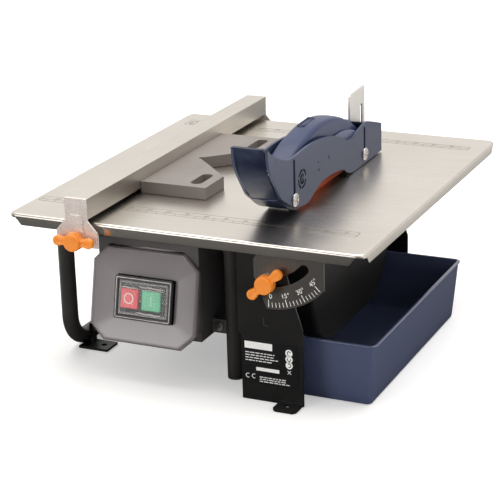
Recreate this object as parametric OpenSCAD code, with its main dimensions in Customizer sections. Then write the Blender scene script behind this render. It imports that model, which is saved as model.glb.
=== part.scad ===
// Bench wet tile saw: tilting steel table, rip fence with corner guide, lifting
// blade guard, direct-drive motor, bent-tube leg frame and a loose water tray.
// Millimetres. Floor at z = 0, +X towards the water tray, -Y towards the switch.

/* [Table] */
// Width of the table across the machine
table_w = 360; // [350:1:370]
// Depth of the table from front to back
table_d = 390; // [380:1:400]
// Height of the working surface above the floor
table_h = 156; // [156:0.5:158]
// Thickness of the table sheet
sheet = 1.5; // [1.2:0.1:2]
// Height of the folded table edge
flange_h = 11; // [8:0.5:11]
// Corner radius of the table
corner_r = 8; // [5:1:12]

/* [Blade and motor] */
// Diameter of the diamond blade
blade_d = 180; // [170:1:180]
// Thickness of the blade
blade_t = 2; // [1.6:0.1:2.2]
// Sideways place of the blade's middle plane
blade_x = 63; // [62.5:0.1:63.5]
// Front-to-back place of the motor axis
axis_y = -17; // [-18:0.5:-16]
// Height of the motor axis
axis_z = 100; // [99:0.5:101]
// Radius of the motor shaft
shaft_r = 6; // [5:0.5:6.5]
// Running clearance on the shaft, per side
run_gap = 0.04; // [0.02:0.01:0.08]
// Outer radius of the stator stack
stator_r = 38; // [34:0.5:39]

/* [Tilt] */
// Sideways distance from the blade plane to the tilt centre
tilt_dx = 24; // [23.5:0.1:24.5]
// Height of the tilt centre above the table surface
tilt_dz = 10; // [9.8:0.1:10.2]
// Largest table angle
tilt_max = 45; // [30:1:45]
// Radius of the clamping slot
clamp_slot_r = 47; // [45:0.5:49]
// Radius of the hidden guide slot
guide_slot_r = 16; // [15.8:0.1:16.2]
// Outer radius of the angle scale plate
scale_r = 73; // [70:0.5:75]

/* [Fence and corner guide] */
// Width of the fence channel
fence_w = 23; // [20:0.5:24]
// Height of the fence above the table
fence_h = 25; // [22:0.5:28]
// Left face of the fence at rest
fence_x = -112; // [-116:1:-110]
// Thickness of the corner guide
guide_t = 12; // [10:0.5:14]
// Width of the corner guide away from the fence
guide_w = 70; // [66:1:72]
// Length of the corner guide along the fence
guide_l = 184; // [176:2:190]

/* [Frame] */
// Outer radius of the leg tube
tube_r = 8; // [7.5:0.1:8]
// Wall of the leg tube
tube_wall = 1.5; // [1:0.1:2]
// Thickness of the folded frame plates
plate_t = 2.5; // [2:0.1:2.5]

/* [Water tray] */
// Height of the tray
tray_h = 60; // [50:1:60]
// Wall of the tray
tray_wall = 2; // [1.6:0.1:3]

/* [Control panel] */
// Width of the eight-sided cover
panel_w = 111; // [108:1:112]
// Height of the eight-sided cover
panel_h = 89; // [86:1:90]
// Size of the cut corners of the cover
panel_cut = 14.5; // [10:0.5:18]
// Travel of the push buttons
press = 3; // [2:0.5:3]

/* [Hidden] */
$fn = 64;
eps = 0.01;
skim = 0.02;

// Table and tilt
top_under = table_h - sheet;
front_y = -table_d / 2;
flange_z = table_h - flange_h;
tilt_x = blade_x + tilt_dx;
tilt_z = table_h + tilt_dz;
slot_x = [blade_x - 4.5, blade_x + 6];
slot_y = [-92, 117];

// Folded side frame: a web with a front and a rear plate
front_plate_y = -187.5;
rear_plate_y = 93;
web_x = 54.5;
mid_y = (front_plate_y + rear_plate_y + plate_t) / 2;
plate_left = web_x + plate_t;
plate_top = 146;
foot_x = [94, 117];
foot_len = 18;
foot_hole_r = 3;
foot_hole_x = 105;
foot_hole_in = 6.5;
bolt_r = 4;
bolt_z = tilt_z - clamp_slot_r;
guide_pin_r = 1.6;
guide_pin = [tilt_x - guide_slot_r * sin(tilt_max / 2), tilt_z - guide_slot_r * cos(tilt_max / 2)];
scale_t = 1.5;
scale_front_y = front_plate_y - 1.5 - scale_t;
scale_rear_y = rear_plate_y + plate_t + 1.5;

// Leg tube
leg_x = -148.5;
post_x = 31;
post_y = -146;
cross_z = 145.3;
bend_r = 24;
floor_bend_r = 30;
rear_post_y = 2 * mid_y - post_y;

// Wing knobs
knob_hub_r = 9;
knob_lobe_r = 5.2;
knob_arm = 16;
knob_h = 11;
knob_wing_h = 7.5;
fence_mid = fence_x + fence_w / 2;
fence_bolt_z = 141;
fence_bolt_r = 3;
fence_end_y = 203;
fence_plate_t = 2;

// Motor casing and end shields
case_x = [-95.5, 9.5];
case_y = [-173, 40];
case_z = [42.5, 136.5];
case_wall = 2.5;
hump_z = 143.5;
stator_x = [-55, -5];
bearing_r = 13;
bearing_l = 8;
bell_x = [case_x[1], web_x];
rear_bell_x = -78;
tie_off = 29;

// Control panel
panel_x = -44;
panel_z = 84.5;
panel_y = -185;
panel_lean = atan(20 / 89);
switch_mid = [1.5, -1.5];
bezel = [60, 41];
window = [52, 33];
body_cut = [54, 35];
button = [20, 19];
stop_at = [-14, -2.2];
start_at = [9.5, -2.2];

// Blade housing
house_x = 104;
house_y = [-126, 81];
house_z = [24, 130];
house_wall = 2;
house_front_r = 50;
house_rear_r = 70;
front_fix = [house_y[0] + 8, 126];
rear_fix = [house_y[1] - 14, 93];

// Guard
guard_x = [45, 81];
guard_wall = 2.5;
core_x = [51, 75];
core_wall = 2.5;
front_screw = [-113, 172];
rear_screw = [67, 167];
slot_half = 2.4;
knife_t = 2;
knife_slot_y = [99.5, 106];
knife_bolt = [102.75, 166.5];

// Water tray
tray_x = [42, 180];
tray_y = [-166.5, 84];

// ---------- helpers ----------

// Outline in (x, z) made into a plate that fills y0 .. y0 + t
module slab_y(y0, t) { translate([0, y0 + t, 0]) rotate([90, 0, 0]) linear_extrude(t) children(); }

// Outline in (y, z) made into a plate that fills x0 .. x0 + t
module slab_x(x0, t) { translate([x0, 0, 0]) rotate([90, 0, 90]) linear_extrude(t) children(); }

// Outline in (x, y) made into a plate that fills z0 .. z0 + t
module slab_z(z0, t) { translate([0, 0, z0]) linear_extrude(t) children(); }

// Round bar along x between x0 and x1
module rod_x(x0, x1, y, z, r) { translate([x0, y, z]) rotate([0, 90, 0]) cylinder(r = r, h = x1 - x0); }

// Round bar along y between y0 and y1
module rod_y(x, y0, y1, z, r) { translate([x, y1, z]) rotate([90, 0, 0]) cylinder(r = r, h = y1 - y0); }

// Box given by its two opposite corners
module span(a, b) { translate(a) cube(b - a); }

// Rectangle with round corners, given by its two opposite corners
module round_rect(a, b, r) {
    translate([a[0] + r, a[1]]) square([b[0] - a[0] - 2 * r, b[1] - a[1]]);
    translate([a[0], a[1] + r]) square([b[0] - a[0], b[1] - a[1] - 2 * r]);
    for (x = [a[0] + r, b[0] - r], y = [a[1] + r, b[1] - r]) translate([x, y]) circle(r);
}

// Rectangle with cut corners about the origin
module cut_rect(w, h, c) {
    polygon([[-w/2 + c, -h/2], [w/2 - c, -h/2], [w/2, -h/2 + c], [w/2, h/2 - c],
             [w/2 - c, h/2], [-w/2 + c, h/2], [-w/2, h/2 - c], [-w/2, -h/2 + c]]);
}

// Copies the children to the same place on the other side of the plane y = m
module mirror_about(m) { translate([0, 2 * m, 0]) mirror([0, 1, 0]) children(); }

// Catmull-Rom curve through the points p, with n steps between neighbours
function curve_at(a, b, c, d, t) =
    0.5 * (2*b + (c - a)*t + (2*a - 5*b + 4*c - d)*t*t + (3*b - a - 3*c + d)*t*t*t);
function smooth(p, n = 5) = [
    for (i = [0 : len(p) - 2], k = [0 : n - 1])
        curve_at(p[max(i - 1, 0)], p[i], p[i + 1], p[min(i + 2, len(p) - 1)], k / n),
    p[len(p) - 1]];
function flip(p) = [for (i = [len(p) - 1 : -1 : 0]) p[i]];
function shift(p, d) = [for (q = p) q + d];

// Slot along an arc about the tilt centre, from angle a0 to a1 past straight down
module arc_slot(r, a0, a1, half) {
    translate([tilt_x, tilt_z]) {
        intersection() {
            difference() { circle(r + half - skim, $fn = 128); circle(r - half + skim, $fn = 128); }
            polygon([[0, 0], for (k = [0 : 4]) let (a = a0 + (a1 - a0) * k / 4) 2 * r * [sin(a), -cos(a)]]);
        }
        for (a = [a0, a1]) translate(r * [sin(a), -cos(a)]) circle(half);
    }
}

// Wing knob that stands up from z = 0, wings at angle a
module wing_knob(a, bore) {
    difference() {
        rotate([0, 0, a]) {
            cylinder(r = knob_hub_r, h = knob_h);
            translate([-knob_arm, -3.2, knob_h - knob_wing_h]) cube([2 * knob_arm, 6.4, knob_wing_h]);
            for (s = [-1, 1]) translate([s * knob_arm, 0, knob_h - knob_wing_h])
                cylinder(r = knob_lobe_r, h = knob_wing_h);
        }
        translate([0, 0, -eps]) cylinder(r = bore, h = knob_h - 2);
    }
}

// ---------- table ----------

// Folded edge along x: outline of one long side, wide at the top
module edge_strip(half) {
    polygon([[-half, top_under + 0.5], [-half, top_under - 1], [-half + 6, flange_z],
             [half - 6, flange_z], [half, top_under - 1], [half, top_under + 0.5]]);
}

module table_top() {
    hw = table_w / 2;
    hd = table_d / 2;
    draw = 0.2;
    lap = 0.6;
    color("gainsboro") {
        difference() {
            slab_z(top_under, sheet) round_rect([-hw, -hd], [hw, hd], corner_r);
            span([slot_x[0], slot_y[0], top_under - 1], [slot_x[1], slot_y[1], table_h + 1]);
        }
        for (y = [-hd, hd - sheet]) slab_y(y, sheet) edge_strip(hw - corner_r);
        for (x = [-hw, hw - sheet]) slab_x(x, sheet) edge_strip(hd - corner_r);
        // Drawn corners between the folded edges, a little inside the outline
        for (sx = [0, 1], sy = [0, 1]) mirror([sx, 0, 0]) mirror([0, sy, 0]) intersection() {
            translate([hw - corner_r, hd - corner_r, top_under - 2.5]) difference() {
                cylinder(r = corner_r - draw, h = 3.1);
                translate([0, 0, -1]) cylinder(r = corner_r - sheet + draw, h = 5);
            }
            span([hw - corner_r - lap, hd - corner_r - lap, 0], [hw, hd, table_h]);
        }
    }
}

// Angle scale plate: straight top and left edge, round lower edge
module scale_outline() {
    a1 = 47.7;
    difference() {
        polygon([[tilt_x - 11, top_under], [tilt_x - 11, table_h - 12], [tilt_x - 14, table_h - 17],
                 [tilt_x - 14, tilt_z - 43],
                 for (k = [0 : 16]) let (a = -1.5 + (a1 + 1.5) * k / 16)
                     [tilt_x + scale_r * sin(a), tilt_z - scale_r * cos(a)],
                 [tilt_x + scale_r * sin(a1), top_under]]);
        arc_slot(clamp_slot_r, -1.5, tilt_max + 3, bolt_r + 0.6);
        arc_slot(guide_slot_r, -tilt_max / 2, tilt_max / 2, guide_pin_r + 0.3);
    }
}

module protractor_front() { color("darkgray") slab_y(scale_front_y, scale_t) scale_outline(); }
module protractor_rear() { color("darkgray") slab_y(scale_rear_y, scale_t) scale_outline(); }

// ---------- fence ----------

module fence_bar() {
    lift = 0.3;
    wall = 1.5;
    color("gainsboro") difference() {
        span([fence_x, -fence_end_y + fence_plate_t, table_h + lift],
             [fence_x + fence_w, fence_end_y - fence_plate_t, table_h + fence_h]);
        span([fence_x + wall, -fence_end_y, table_h - 1],
             [fence_x + fence_w - wall, fence_end_y, table_h + fence_h - wall]);
        // Gap under the guide side, for the hook of the corner guide
        span([fence_x + fence_w / 2, -fence_end_y, table_h - 1],
             [fence_x + fence_w + 1, fence_end_y, table_h + 4.8]);
    }
}

// Stamped end plate of the fence, with its wide lower part
module fence_end_outline() {
    w = fence_w / 2;
    translate([fence_mid, 0]) difference() {
        polygon([[-w, table_h + fence_h], [-w, table_h + 4], [-w - 10, table_h - 7], [-w - 10, 134],
                 [w + 10, 134], [w + 10, table_h - 7], [w, table_h + 4], [w, table_h + fence_h]]);
        translate([0, fence_bolt_z]) circle(fence_bolt_r + 0.05);
    }
}

module fence_end_front() {
    color("silver") slab_y(-fence_end_y, fence_plate_t) fence_end_outline();
}
module fence_end_rear() {
    color("silver") slab_y(fence_end_y - fence_plate_t, fence_plate_t) fence_end_outline();
}

// Pressed spring clips that lie on the end plates
module fence_clip() {
    color("lightgray") for (y = [-fence_end_y - 1.5, fence_end_y]) slab_y(y, 1.5) difference() {
        translate([fence_mid, 0]) polygon([[-7.5, 135], [7.5, 135], [7.5, 162], [5.5, 165],
                                           [-5.5, 165], [-7.5, 162]]);
        translate([fence_mid, fence_bolt_z]) circle(fence_bolt_r + 0.05);
    }
}

// Clamp jaws behind the folded table edge
module clamp_jaw() {
    difference() {
        span([fence_mid - 14, front_y + sheet + 0.6, 133], [fence_mid + 14, front_y + sheet + 3.1, 153]);
        rod_y(fence_mid, front_y, front_y + 10, fence_bolt_z, fence_bolt_r);
    }
}
module fence_clamps() { color("dimgray") { clamp_jaw(); mirror_about(0) clamp_jaw(); } }

module fence_bolt() {
    rod_y(fence_mid, -fence_end_y - 10.2, front_y + sheet + 5, fence_bolt_z, fence_bolt_r);
    translate([fence_mid, front_y + sheet + 3.1, fence_bolt_z]) rotate([-90, 0, 0])
        cylinder(r = 5, h = 2.5, $fn = 6);
}
module fence_bolts() { color("silver") { fence_bolt(); mirror_about(0) fence_bolt(); } }

module fence_knob() {
    translate([fence_mid, -fence_end_y - 1.6, fence_bolt_z]) rotate([90, 0, 0])
        wing_knob(0, fence_bolt_r + run_gap);
}
module fence_knob_front() { color("darkorange") fence_knob(); }
module fence_knob_rear() { color("darkorange") mirror_about(0) fence_knob(); }

// Corner guide: flat block with a right-angled notch, two long slots and a hook
module corner_guide() {
    x0 = fence_x + fence_w + 0.2;
    x1 = x0 + guide_w;
    ym = -5;
    apex = [x0 + 19, ym];
    reach = x1 - apex[0];
    z0 = table_h + 0.3;
    color("dimgray") {
        slab_z(z0, guide_t) difference() {
            translate([x0, ym - guide_l / 2]) square([guide_w, guide_l]);
            polygon([apex, [x1 + 1, ym - reach - 1], [x1 + 1, ym + reach + 1]]);
            translate(apex + [1, 0]) circle(2.2);
            for (s = [-1, 1]) translate([x0 + 53.5, ym + s * 66])
                round_rect([-6, -17], [6, 17], 5.9);
        }
        // Tongue under the fence wall, turned up inside it
        difference() {
            span([x0 - 6, ym - guide_l / 2 + 8, z0], [x0 + 1, ym + guide_l / 2 - 8, z0 + 9]);
            span([x0 - 2.2, ym - guide_l, z0 + 3.9], [x0, ym + guide_l, z0 + 10]);
        }
    }
}

// ---------- frame ----------

// Upright folded plate that carries the tilt bolt, with a small ear for the guide pin
module bracket_outline() {
    difference() {
        union() {
            polygon([[plate_left, 0], [118, 0], [118, 75], [112, 94], [103, 128], [88, plate_top],
                     [plate_left, plate_top]]);
            translate([guide_pin[0] - 3, plate_top - 2]) square([6, guide_pin[1] - plate_top + 2]);
            translate(guide_pin) circle(3);
        }
        translate(guide_pin) circle(guide_pin_r);
        translate([tilt_x, bolt_z]) circle(bolt_r);
    }
}

// Foot that is folded outwards from the foot of the plate
module bracket(y0) {
    color("dimgray") {
        slab_y(y0, plate_t) bracket_outline();
        slab_z(0, plate_t) difference() {
            polygon([[foot_x[0], y0 + 1], [foot_x[1], y0 + 1], [foot_x[1], y0 - foot_len + 3],
                     [foot_x[1] - 3, y0 - foot_len], [foot_x[0] + 3, y0 - foot_len],
                     [foot_x[0], y0 - foot_len + 3]]);
            translate([foot_hole_x, y0 - foot_hole_in]) circle(foot_hole_r);
        }
    }
}
module front_bracket() { bracket(front_plate_y); }
module rear_bracket() { mirror_about(mid_y) bracket(front_plate_y); }

// Web between the two upright plates; the motor, knife and housing bolt to it
module motor_plate() {
    color("dimgray") difference() {
        slab_x(web_x, plate_t) difference() {
            polygon([[front_plate_y, 64], [-150, 64], [-120, 66], [60, 66], [rear_plate_y + plate_t, 64],
                     [rear_plate_y + plate_t, plate_top], [front_plate_y, plate_top]]);
            translate([axis_y, axis_z]) circle(bearing_r);
            for (z = [112, 132]) translate([85, z]) circle(2.5);
            for (s = [-1, 1], t = [-1, 1]) translate([axis_y + s * 24, axis_z + t * 24]) circle(2.5);
            for (f = [front_fix, rear_fix]) translate(f) circle(2);
        }
    }
}

// Short bars that join the upright posts to the web
module post_tie() {
    difference() {
        span([post_x + 4, post_y - 4, 70], [web_x, post_y + 4, 130]);
        translate([post_x, post_y, 0]) cylinder(r = tube_r, h = 200);
    }
}
module post_ties() { color("dimgray") { post_tie(); mirror_about(mid_y) post_tie(); } }

// One half of the leg tube, as a solid bar of radius r, ends longer by e
module tube_half(r, e) {
    translate([post_x, post_y, -e]) cylinder(r = r, h = cross_z - bend_r + e);
    translate([post_x - bend_r, post_y, cross_z - bend_r]) rotate([90, 0, 0])
        rotate_extrude(angle = 90) translate([bend_r, 0]) circle(r);
    rod_x(leg_x + bend_r, post_x - bend_r, post_y, cross_z, r);
    translate([leg_x + bend_r, post_y, cross_z - bend_r]) rotate([90, 0, 0]) rotate([0, 0, 90])
        rotate_extrude(angle = 90) translate([bend_r, 0]) circle(r);
    translate([leg_x, post_y, tube_r + floor_bend_r])
        cylinder(r = r, h = cross_z - bend_r - tube_r - floor_bend_r);
    translate([leg_x, post_y + floor_bend_r, tube_r + floor_bend_r]) rotate([0, -90, 0]) rotate([0, 0, 180])
        rotate_extrude(angle = 90) translate([floor_bend_r, 0]) circle(r);
    rod_y(leg_x, post_y + floor_bend_r, mid_y + eps, tube_r, r);
}
module tube_solid(r, e) { tube_half(r, e); mirror_about(mid_y) tube_half(r, e); }

module leg_tube() {
    color("dimgray") difference() {
        tube_solid(tube_r, -0.6);
        tube_solid(tube_r - tube_wall, 1);
    }
}

// Plugs that close the two open tube ends on the floor
module tube_plugs() {
    color("black") for (y = [post_y, rear_post_y]) translate([post_x, y, 0]) {
        cylinder(r = tube_r, h = 0.6);
        cylinder(r = tube_r - tube_wall, h = 12);
    }
}

// Rubber pads that the left side of the level table lies on
module rest_pads() {
    color("black") for (y = [post_y, rear_post_y]) difference() {
        span([leg_x + bend_r + 4, y - 6, cross_z + 2], [leg_x + bend_r + 24, y + 6, top_under]);
        rod_x(leg_x, 0, y, cross_z, tube_r);
    }
}

// Screw-down feet beside the bent tube: flat pad with an upright ear
module foot_bracket() {
    y0 = post_y + 9;
    difference() {
        union() {
            span([leg_x + 2, y0, 0], [leg_x + 34, y0 + 22, plate_t]);
            span([leg_x + tube_r - 1, y0 + 14, 0], [leg_x + tube_r + plate_t, y0 + 22, 22]);
        }
        tube_solid(tube_r, 0);
        translate([leg_x + 25, y0 + 11, -1]) cylinder(r = foot_hole_r, h = 6);
        rod_x(leg_x, leg_x + 20, y0 + 18, 17, 2.5);
    }
}
module foot_brackets() { color("dimgray") { foot_bracket(); mirror_about(mid_y) foot_bracket(); } }

module foot_bolt() {
    y = post_y + 27;
    rod_x(leg_x + tube_r - 0.5, leg_x + tube_r + plate_t + 2, y, 17, 2.5);
    translate([leg_x + tube_r + plate_t, y, 17]) rotate([0, 90, 0]) cylinder(r = 4.6, h = 3.5, $fn = 6);
}
module foot_bolts() {
    color("silver") difference() {
        union() { foot_bolt(); mirror_about(mid_y) foot_bolt(); }
        tube_solid(tube_r, 0);
    }
}

// Clamp bolt through plate and scale, with a shoulder washer on each side of the scale
module tilt_bolt() {
    rod_y(tilt_x, scale_front_y - knob_h, front_plate_y + plate_t, bolt_z, bolt_r);
    rod_y(tilt_x, front_plate_y + plate_t, front_plate_y + plate_t + 3, bolt_z, 8);
    rod_y(tilt_x, front_plate_y - 1.3, front_plate_y, bolt_z, 8);
    rod_y(tilt_x, scale_front_y - 2, scale_front_y - 0.2, bolt_z, 8);
}
module tilt_bolts() { color("silver") { tilt_bolt(); mirror_about(mid_y) tilt_bolt(); } }

module tilt_guide_pin() {
    rod_y(guide_pin[0], front_plate_y - 3.4, front_plate_y + plate_t, guide_pin[1], guide_pin_r);
}
module tilt_guide_pins() { color("silver") { tilt_guide_pin(); mirror_about(mid_y) tilt_guide_pin(); } }

module tilt_knob() {
    translate([tilt_x, scale_front_y - 2.2, bolt_z]) rotate([90, 0, 0]) wing_knob(41, bolt_r + run_gap);
}
module tilt_knob_front() { color("darkorange") tilt_knob(); }
module tilt_knob_rear() { color("darkorange") mirror_about(mid_y) tilt_knob(); }

module rating_label() {
    color("black") slab_y(front_plate_y - 0.4, 0.4) round_rect([plate_left + 1.5, 17], [113.5, 60], 2);
}

// ---------- motor and switch ----------

// Places the children on the leaning cover: x across, y up the face, z out of it
module on_panel() { translate([panel_x, panel_y, panel_z]) rotate([90 - panel_lean, 0, 0]) children(); }

// Eight-sided block behind a plane that is d below the leaning face
module panel_block(inset, d) {
    difference() {
        translate([panel_x, 0, panel_z]) slab_y(-200, 200 + case_y[0])
            cut_rect(panel_w - 2 * inset, panel_h - 2 * inset, panel_cut - 0.6 * inset);
        on_panel() translate([-100, -100, -d]) cube([200, 200, 60]);
    }
}

module panel_cover() {
    color("thistle") difference() {
        panel_block(0, 0);
        difference() { panel_block(2.5, 2.5); span([-200, case_y[0], 0], [200, 0, 200]); }
        on_panel() translate([switch_mid[0] - body_cut[0] / 2, switch_mid[1] - body_cut[1] / 2, -20])
            cube([body_cut[0], body_cut[1], 40]);
    }
}

// Casing as a solid block, smaller by d on every side, with a raised part over the stator
module casing_block(d) {
    span([case_x[0] + d, case_y[0] + d, case_z[0] + d], [case_x[1] - d, case_y[1] - d, case_z[1] - d]);
    span([case_x[0] + d, axis_y - 45 + d, case_z[0] + d], [case_x[1] - d, axis_y + 45 - d, hump_z - d]);
}

module motor_casing() {
    vents = 7;
    color("dimgray") {
        difference() {
            casing_block(0);
            casing_block(case_wall);
            // Front opening behind the cover
            translate([panel_x, 0, panel_z]) slab_y(case_y[0] - 1, 10)
                cut_rect(panel_w - 20, panel_h - 14, panel_cut);
            rod_x(case_x[1] - 5, case_x[1] + 1, axis_y, axis_z, 31);
            // Cooling slots by the fan
            for (k = [0 : vents - 1]) span([case_x[0] - 1, axis_y - 33 + k * 10, axis_z - 22],
                                           [case_x[0] + 5, axis_y - 28 + k * 10, axis_z + 22]);
            rod_y(-60, case_y[1] - 5, case_y[1] + 1, 62, 6);
            for (s = [-1, 1], t = [-1, 1])
                rod_x(case_x[1] - 5, case_x[1] + 1, axis_y + s * tie_off, axis_z + t * tie_off, 2);
        }
        // Ear that screws to the front post
        difference() {
            span([case_x[1] - 1, post_y - 3, 44], [post_x, post_y + 1, 58]);
            translate([post_x, post_y, 0]) cylinder(r = tube_r, h = 200);
            rod_y(17, post_y - 10, post_y + 10, 51, 2);
        }
    }
}

module casing_screw() {
    color("silver") {
        rod_y(17, post_y - 3, post_y + 4, 51, 2);
        rod_y(17, post_y - 5.5, post_y - 3, 51, 4.2);
        rod_y(17, post_y + 1, post_y + 3.5, 51, 3.6);
    }
}

module switch_body() {
    color("black") on_panel() translate([switch_mid[0], switch_mid[1], 0]) difference() {
        translate([-body_cut[0] / 2, -body_cut[1] / 2, -30]) cube([body_cut[0], body_cut[1], 31]);
        for (p = [stop_at, start_at])
            translate([p[0] - switch_mid[0] - button[0] / 2 - 0.3, p[1] - switch_mid[1] - button[1] / 2 - 0.3, -12])
                cube([button[0] + 0.6, button[1] + 0.6, 20]);
    }
}

module switch_bezel() {
    color("gray") on_panel() translate([switch_mid[0], switch_mid[1], 0]) difference() {
        slab_z(0, 4) round_rect(-bezel / 2, bezel / 2, 2);
        translate([-body_cut[0] / 2, -body_cut[1] / 2, -1]) cube([body_cut[0], body_cut[1], 2]);
        translate([-window[0] / 2, -window[1] / 2, -1]) cube([window[0], window[1], 10]);
    }
}

module switch_membrane() {
    color("lightcyan", 0.4) on_panel() translate([switch_mid[0], switch_mid[1], 0])
        translate([-window[0] / 2, -window[1] / 2, 3.2]) cube([window[0], window[1], 0.6]);
}

module push_button(p) {
    on_panel() translate([p[0], p[1], -7]) slab_z(0, 9.6) round_rect(-button / 2, button / 2, 1);
}
module stop_button() { color("crimson") push_button(stop_at); }
module start_button() { color("mediumseagreen") push_button(start_at); }

module capacitor() { color("silver") rod_x(-84, -20, -115, 66, 17); }

// Inlet bush of the mains lead in the rear wall of the casing
module cable_gland() {
    color("black") difference() {
        union() {
            rod_y(-60, case_y[1] - 6, case_y[1], 62, 6);
            rod_y(-60, case_y[1], case_y[1] + 10, 62, 8.5);
        }
        rod_y(-60, case_y[1] - 10, case_y[1] + 20, 62, 3.6);
    }
}

// Turned shape about the motor axis, outline in (distance along x, radius)
module turned(p) {
    translate([0, axis_y, axis_z]) rotate([0, 90, 0]) rotate_extrude($fn = 96)
        polygon([for (q = p) [q[1], q[0]]]);
}

module front_end_bell() {
    a = bell_x[0];
    b = bell_x[1];
    color("silver") difference() {
        turned([[a, 31], [a, 44], [a + 3, 44], [a + 3, 34], [b - 3, 34], [b, 38], [b, bearing_r],
                [b - bearing_l, bearing_r], [b - bearing_l, 17], [b - 3.5, 17], [b - 3.5, 31]]);
        for (s = [-1, 1], t = [-1, 1]) {
            rod_x(a - 1, a + 4, axis_y + s * tie_off, axis_z + t * tie_off, 2);
            rod_x(b - 3.5, b + 1, axis_y + s * 24, axis_z + t * 24, 2.5);
        }
    }
}

module rear_end_bell() {
    x = rear_bell_x;
    color("silver") difference() {
        turned([[x, bearing_r], [x, 44], [x + 4, 44], [x + 4, 17], [x + bearing_l, 17], [x + bearing_l, bearing_r]]);
        for (s = [-1, 1], t = [-1, 1])
            rod_x(x - 1, x + 5, axis_y + s * tie_off, axis_z + t * tie_off, 2);
        span([x - 1, axis_y - 50, hump_z - case_wall - 0.5], [x + 5, axis_y + 50, hump_z + 10]);
    }
}

// Long screws that pull both end shields and the casing together
module tie_rods() {
    color("silver") for (s = [-1, 1], t = [-1, 1]) {
        rod_x(rear_bell_x - 3, bell_x[0] + 4, axis_y + s * tie_off, axis_z + t * tie_off, 2);
        rod_x(rear_bell_x - 6, rear_bell_x, axis_y + s * tie_off, axis_z + t * tie_off, 3.5);
        rod_x(plate_left, plate_left + 2.5, axis_y + s * 24, axis_z + t * 24, 4);
        rod_x(bell_x[1] - 3.5, plate_left, axis_y + s * 24, axis_z + t * 24, 2.5);
    }
}

module stator_core() {
    color("lightslategray") turned([[stator_x[0], 22.6], [stator_x[0], stator_r],
                                    [stator_x[1], stator_r], [stator_x[1], 22.6]]);
}

// Coil heads on both ends of the stator
module stator_windings() {
    color("peru") {
        turned([[stator_x[0] - 11, 26], [stator_x[0] - 11, 33], [stator_x[0], 35], [stator_x[0], 24]]);
        turned([[stator_x[1], 24], [stator_x[1], 35], [stator_x[1] + 9, 30.5], [stator_x[1] + 9, 26]]);
    }
}

module bearings() {
    color("silver") {
        turned([[bell_x[1] - bearing_l, shaft_r + run_gap], [bell_x[1] - bearing_l, bearing_r],
                [web_x + plate_t, bearing_r], [web_x + plate_t, shaft_r + run_gap]]);
        turned([[rear_bell_x, shaft_r + run_gap], [rear_bell_x, bearing_r],
                [rear_bell_x + bearing_l, bearing_r], [rear_bell_x + bearing_l, shaft_r + run_gap]]);
    }
}

module motor_shaft() { color("lightgray") rod_x(-91, 80, axis_y, axis_z, shaft_r); }

module rotor_core() {
    color("slategray") turned([[stator_x[0], shaft_r], [stator_x[0], 22.1], [stator_x[1], 22.1],
                               [stator_x[1], shaft_r]]);
}

module cooling_fan() {
    blades = 9;
    color("black") {
        turned([[-90, shaft_r], [-90, 12], [-85.5, 28], [-84, 28], [-84, shaft_r]]);
        for (k = [0 : blades - 1]) translate([0, axis_y, axis_z]) rotate([k * 360 / blades, 0, 0])
            translate([-90, -0.8, 8]) cube([5, 1.6, 19]);
    }
}

// ---------- blade ----------

blade_x0 = blade_x - blade_t / 2;
blade_x1 = blade_x + blade_t / 2;
blade_bore = 11.1;

module inner_flange() {
    color("silver") turned([[blade_x0 - 4.2, shaft_r], [blade_x0 - 4.2, 20], [blade_x0 - 2, 25],
                            [blade_x0, 25], [blade_x0, blade_bore], [blade_x1, blade_bore],
                            [blade_x1, shaft_r]]);
}
module diamond_blade() {
    color("coral") turned([[blade_x0, blade_bore], [blade_x0, blade_d / 2], [blade_x1, blade_d / 2],
                           [blade_x1, blade_bore]]);
}
module outer_flange() {
    color("silver") turned([[blade_x1, shaft_r], [blade_x1, 25], [blade_x1 + 2, 25], [blade_x1 + 4, 20],
                            [blade_x1 + 4, shaft_r]]);
}
module arbor_nut() {
    color("silver") difference() {
        translate([blade_x1 + 4, axis_y, axis_z]) rotate([0, 90, 0]) cylinder(r = 11, h = 9, $fn = 6);
        rod_x(0, 100, axis_y, axis_z, shaft_r);
    }
}

// Housing outline in (y, z): a box with two large lower corners
module house_outline(inset, z_top) {
    y0 = house_y[0] + inset;
    y1 = house_y[1] - inset;
    z0 = house_z[0] + inset;
    a = house_front_r - inset;
    b = house_rear_r - inset;
    intersection() {
        union() {
            polygon([[y0, z0 + a], [y0 + a, z0], [y1 - b, z0], [y1, z0 + b], [y1, z_top], [y0, z_top]]);
            translate([y0 + a, z0 + a]) circle(a, $fn = 128);
            translate([y1 - b, z0 + b]) circle(b, $fn = 128);
        }
        translate([y0, z0]) square([y1 - y0, z_top - z0]);
    }
}

module blade_housing() {
    color("dimgray") {
        difference() {
            slab_x(plate_left, house_x - plate_left) house_outline(0, house_z[1]);
            slab_x(plate_left - 1, house_x - plate_left + 1 - house_wall) house_outline(house_wall, house_z[1] + 5);
            // Open below for the blade and open behind for the knife
            span([plate_left - 1, -110, 0], [86, 66, 60]);
            span([plate_left - 1, 40, 0], [70, house_y[1] + 1, house_z[1] + 1]);
        }
        difference() {
            span([plate_left, house_y[0] + house_wall - 0.5, 120], [plate_left + 2, house_y[0] + 14, 130]);
            rod_x(plate_left - 1, plate_left + 3, front_fix[0], front_fix[1], 2);
        }
        // Rear fixing arm, which passes below the knife and outside the blade
        difference() {
            union() {
                span([plate_left, rear_fix[0] - 7, 88], [plate_left + 2, house_y[1] - 2.5, 98]);
                span([plate_left, house_y[1] - 5.5, 90], [house_x - 1, house_y[1] - 2.5, 96]);
                span([70, house_y[1] - 4, 90], [house_x - 1, house_y[1] - 1, 96]);
            }
            rod_x(plate_left - 1, plate_left + 3, rear_fix[0], rear_fix[1], 2);
        }
    }
}

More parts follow.
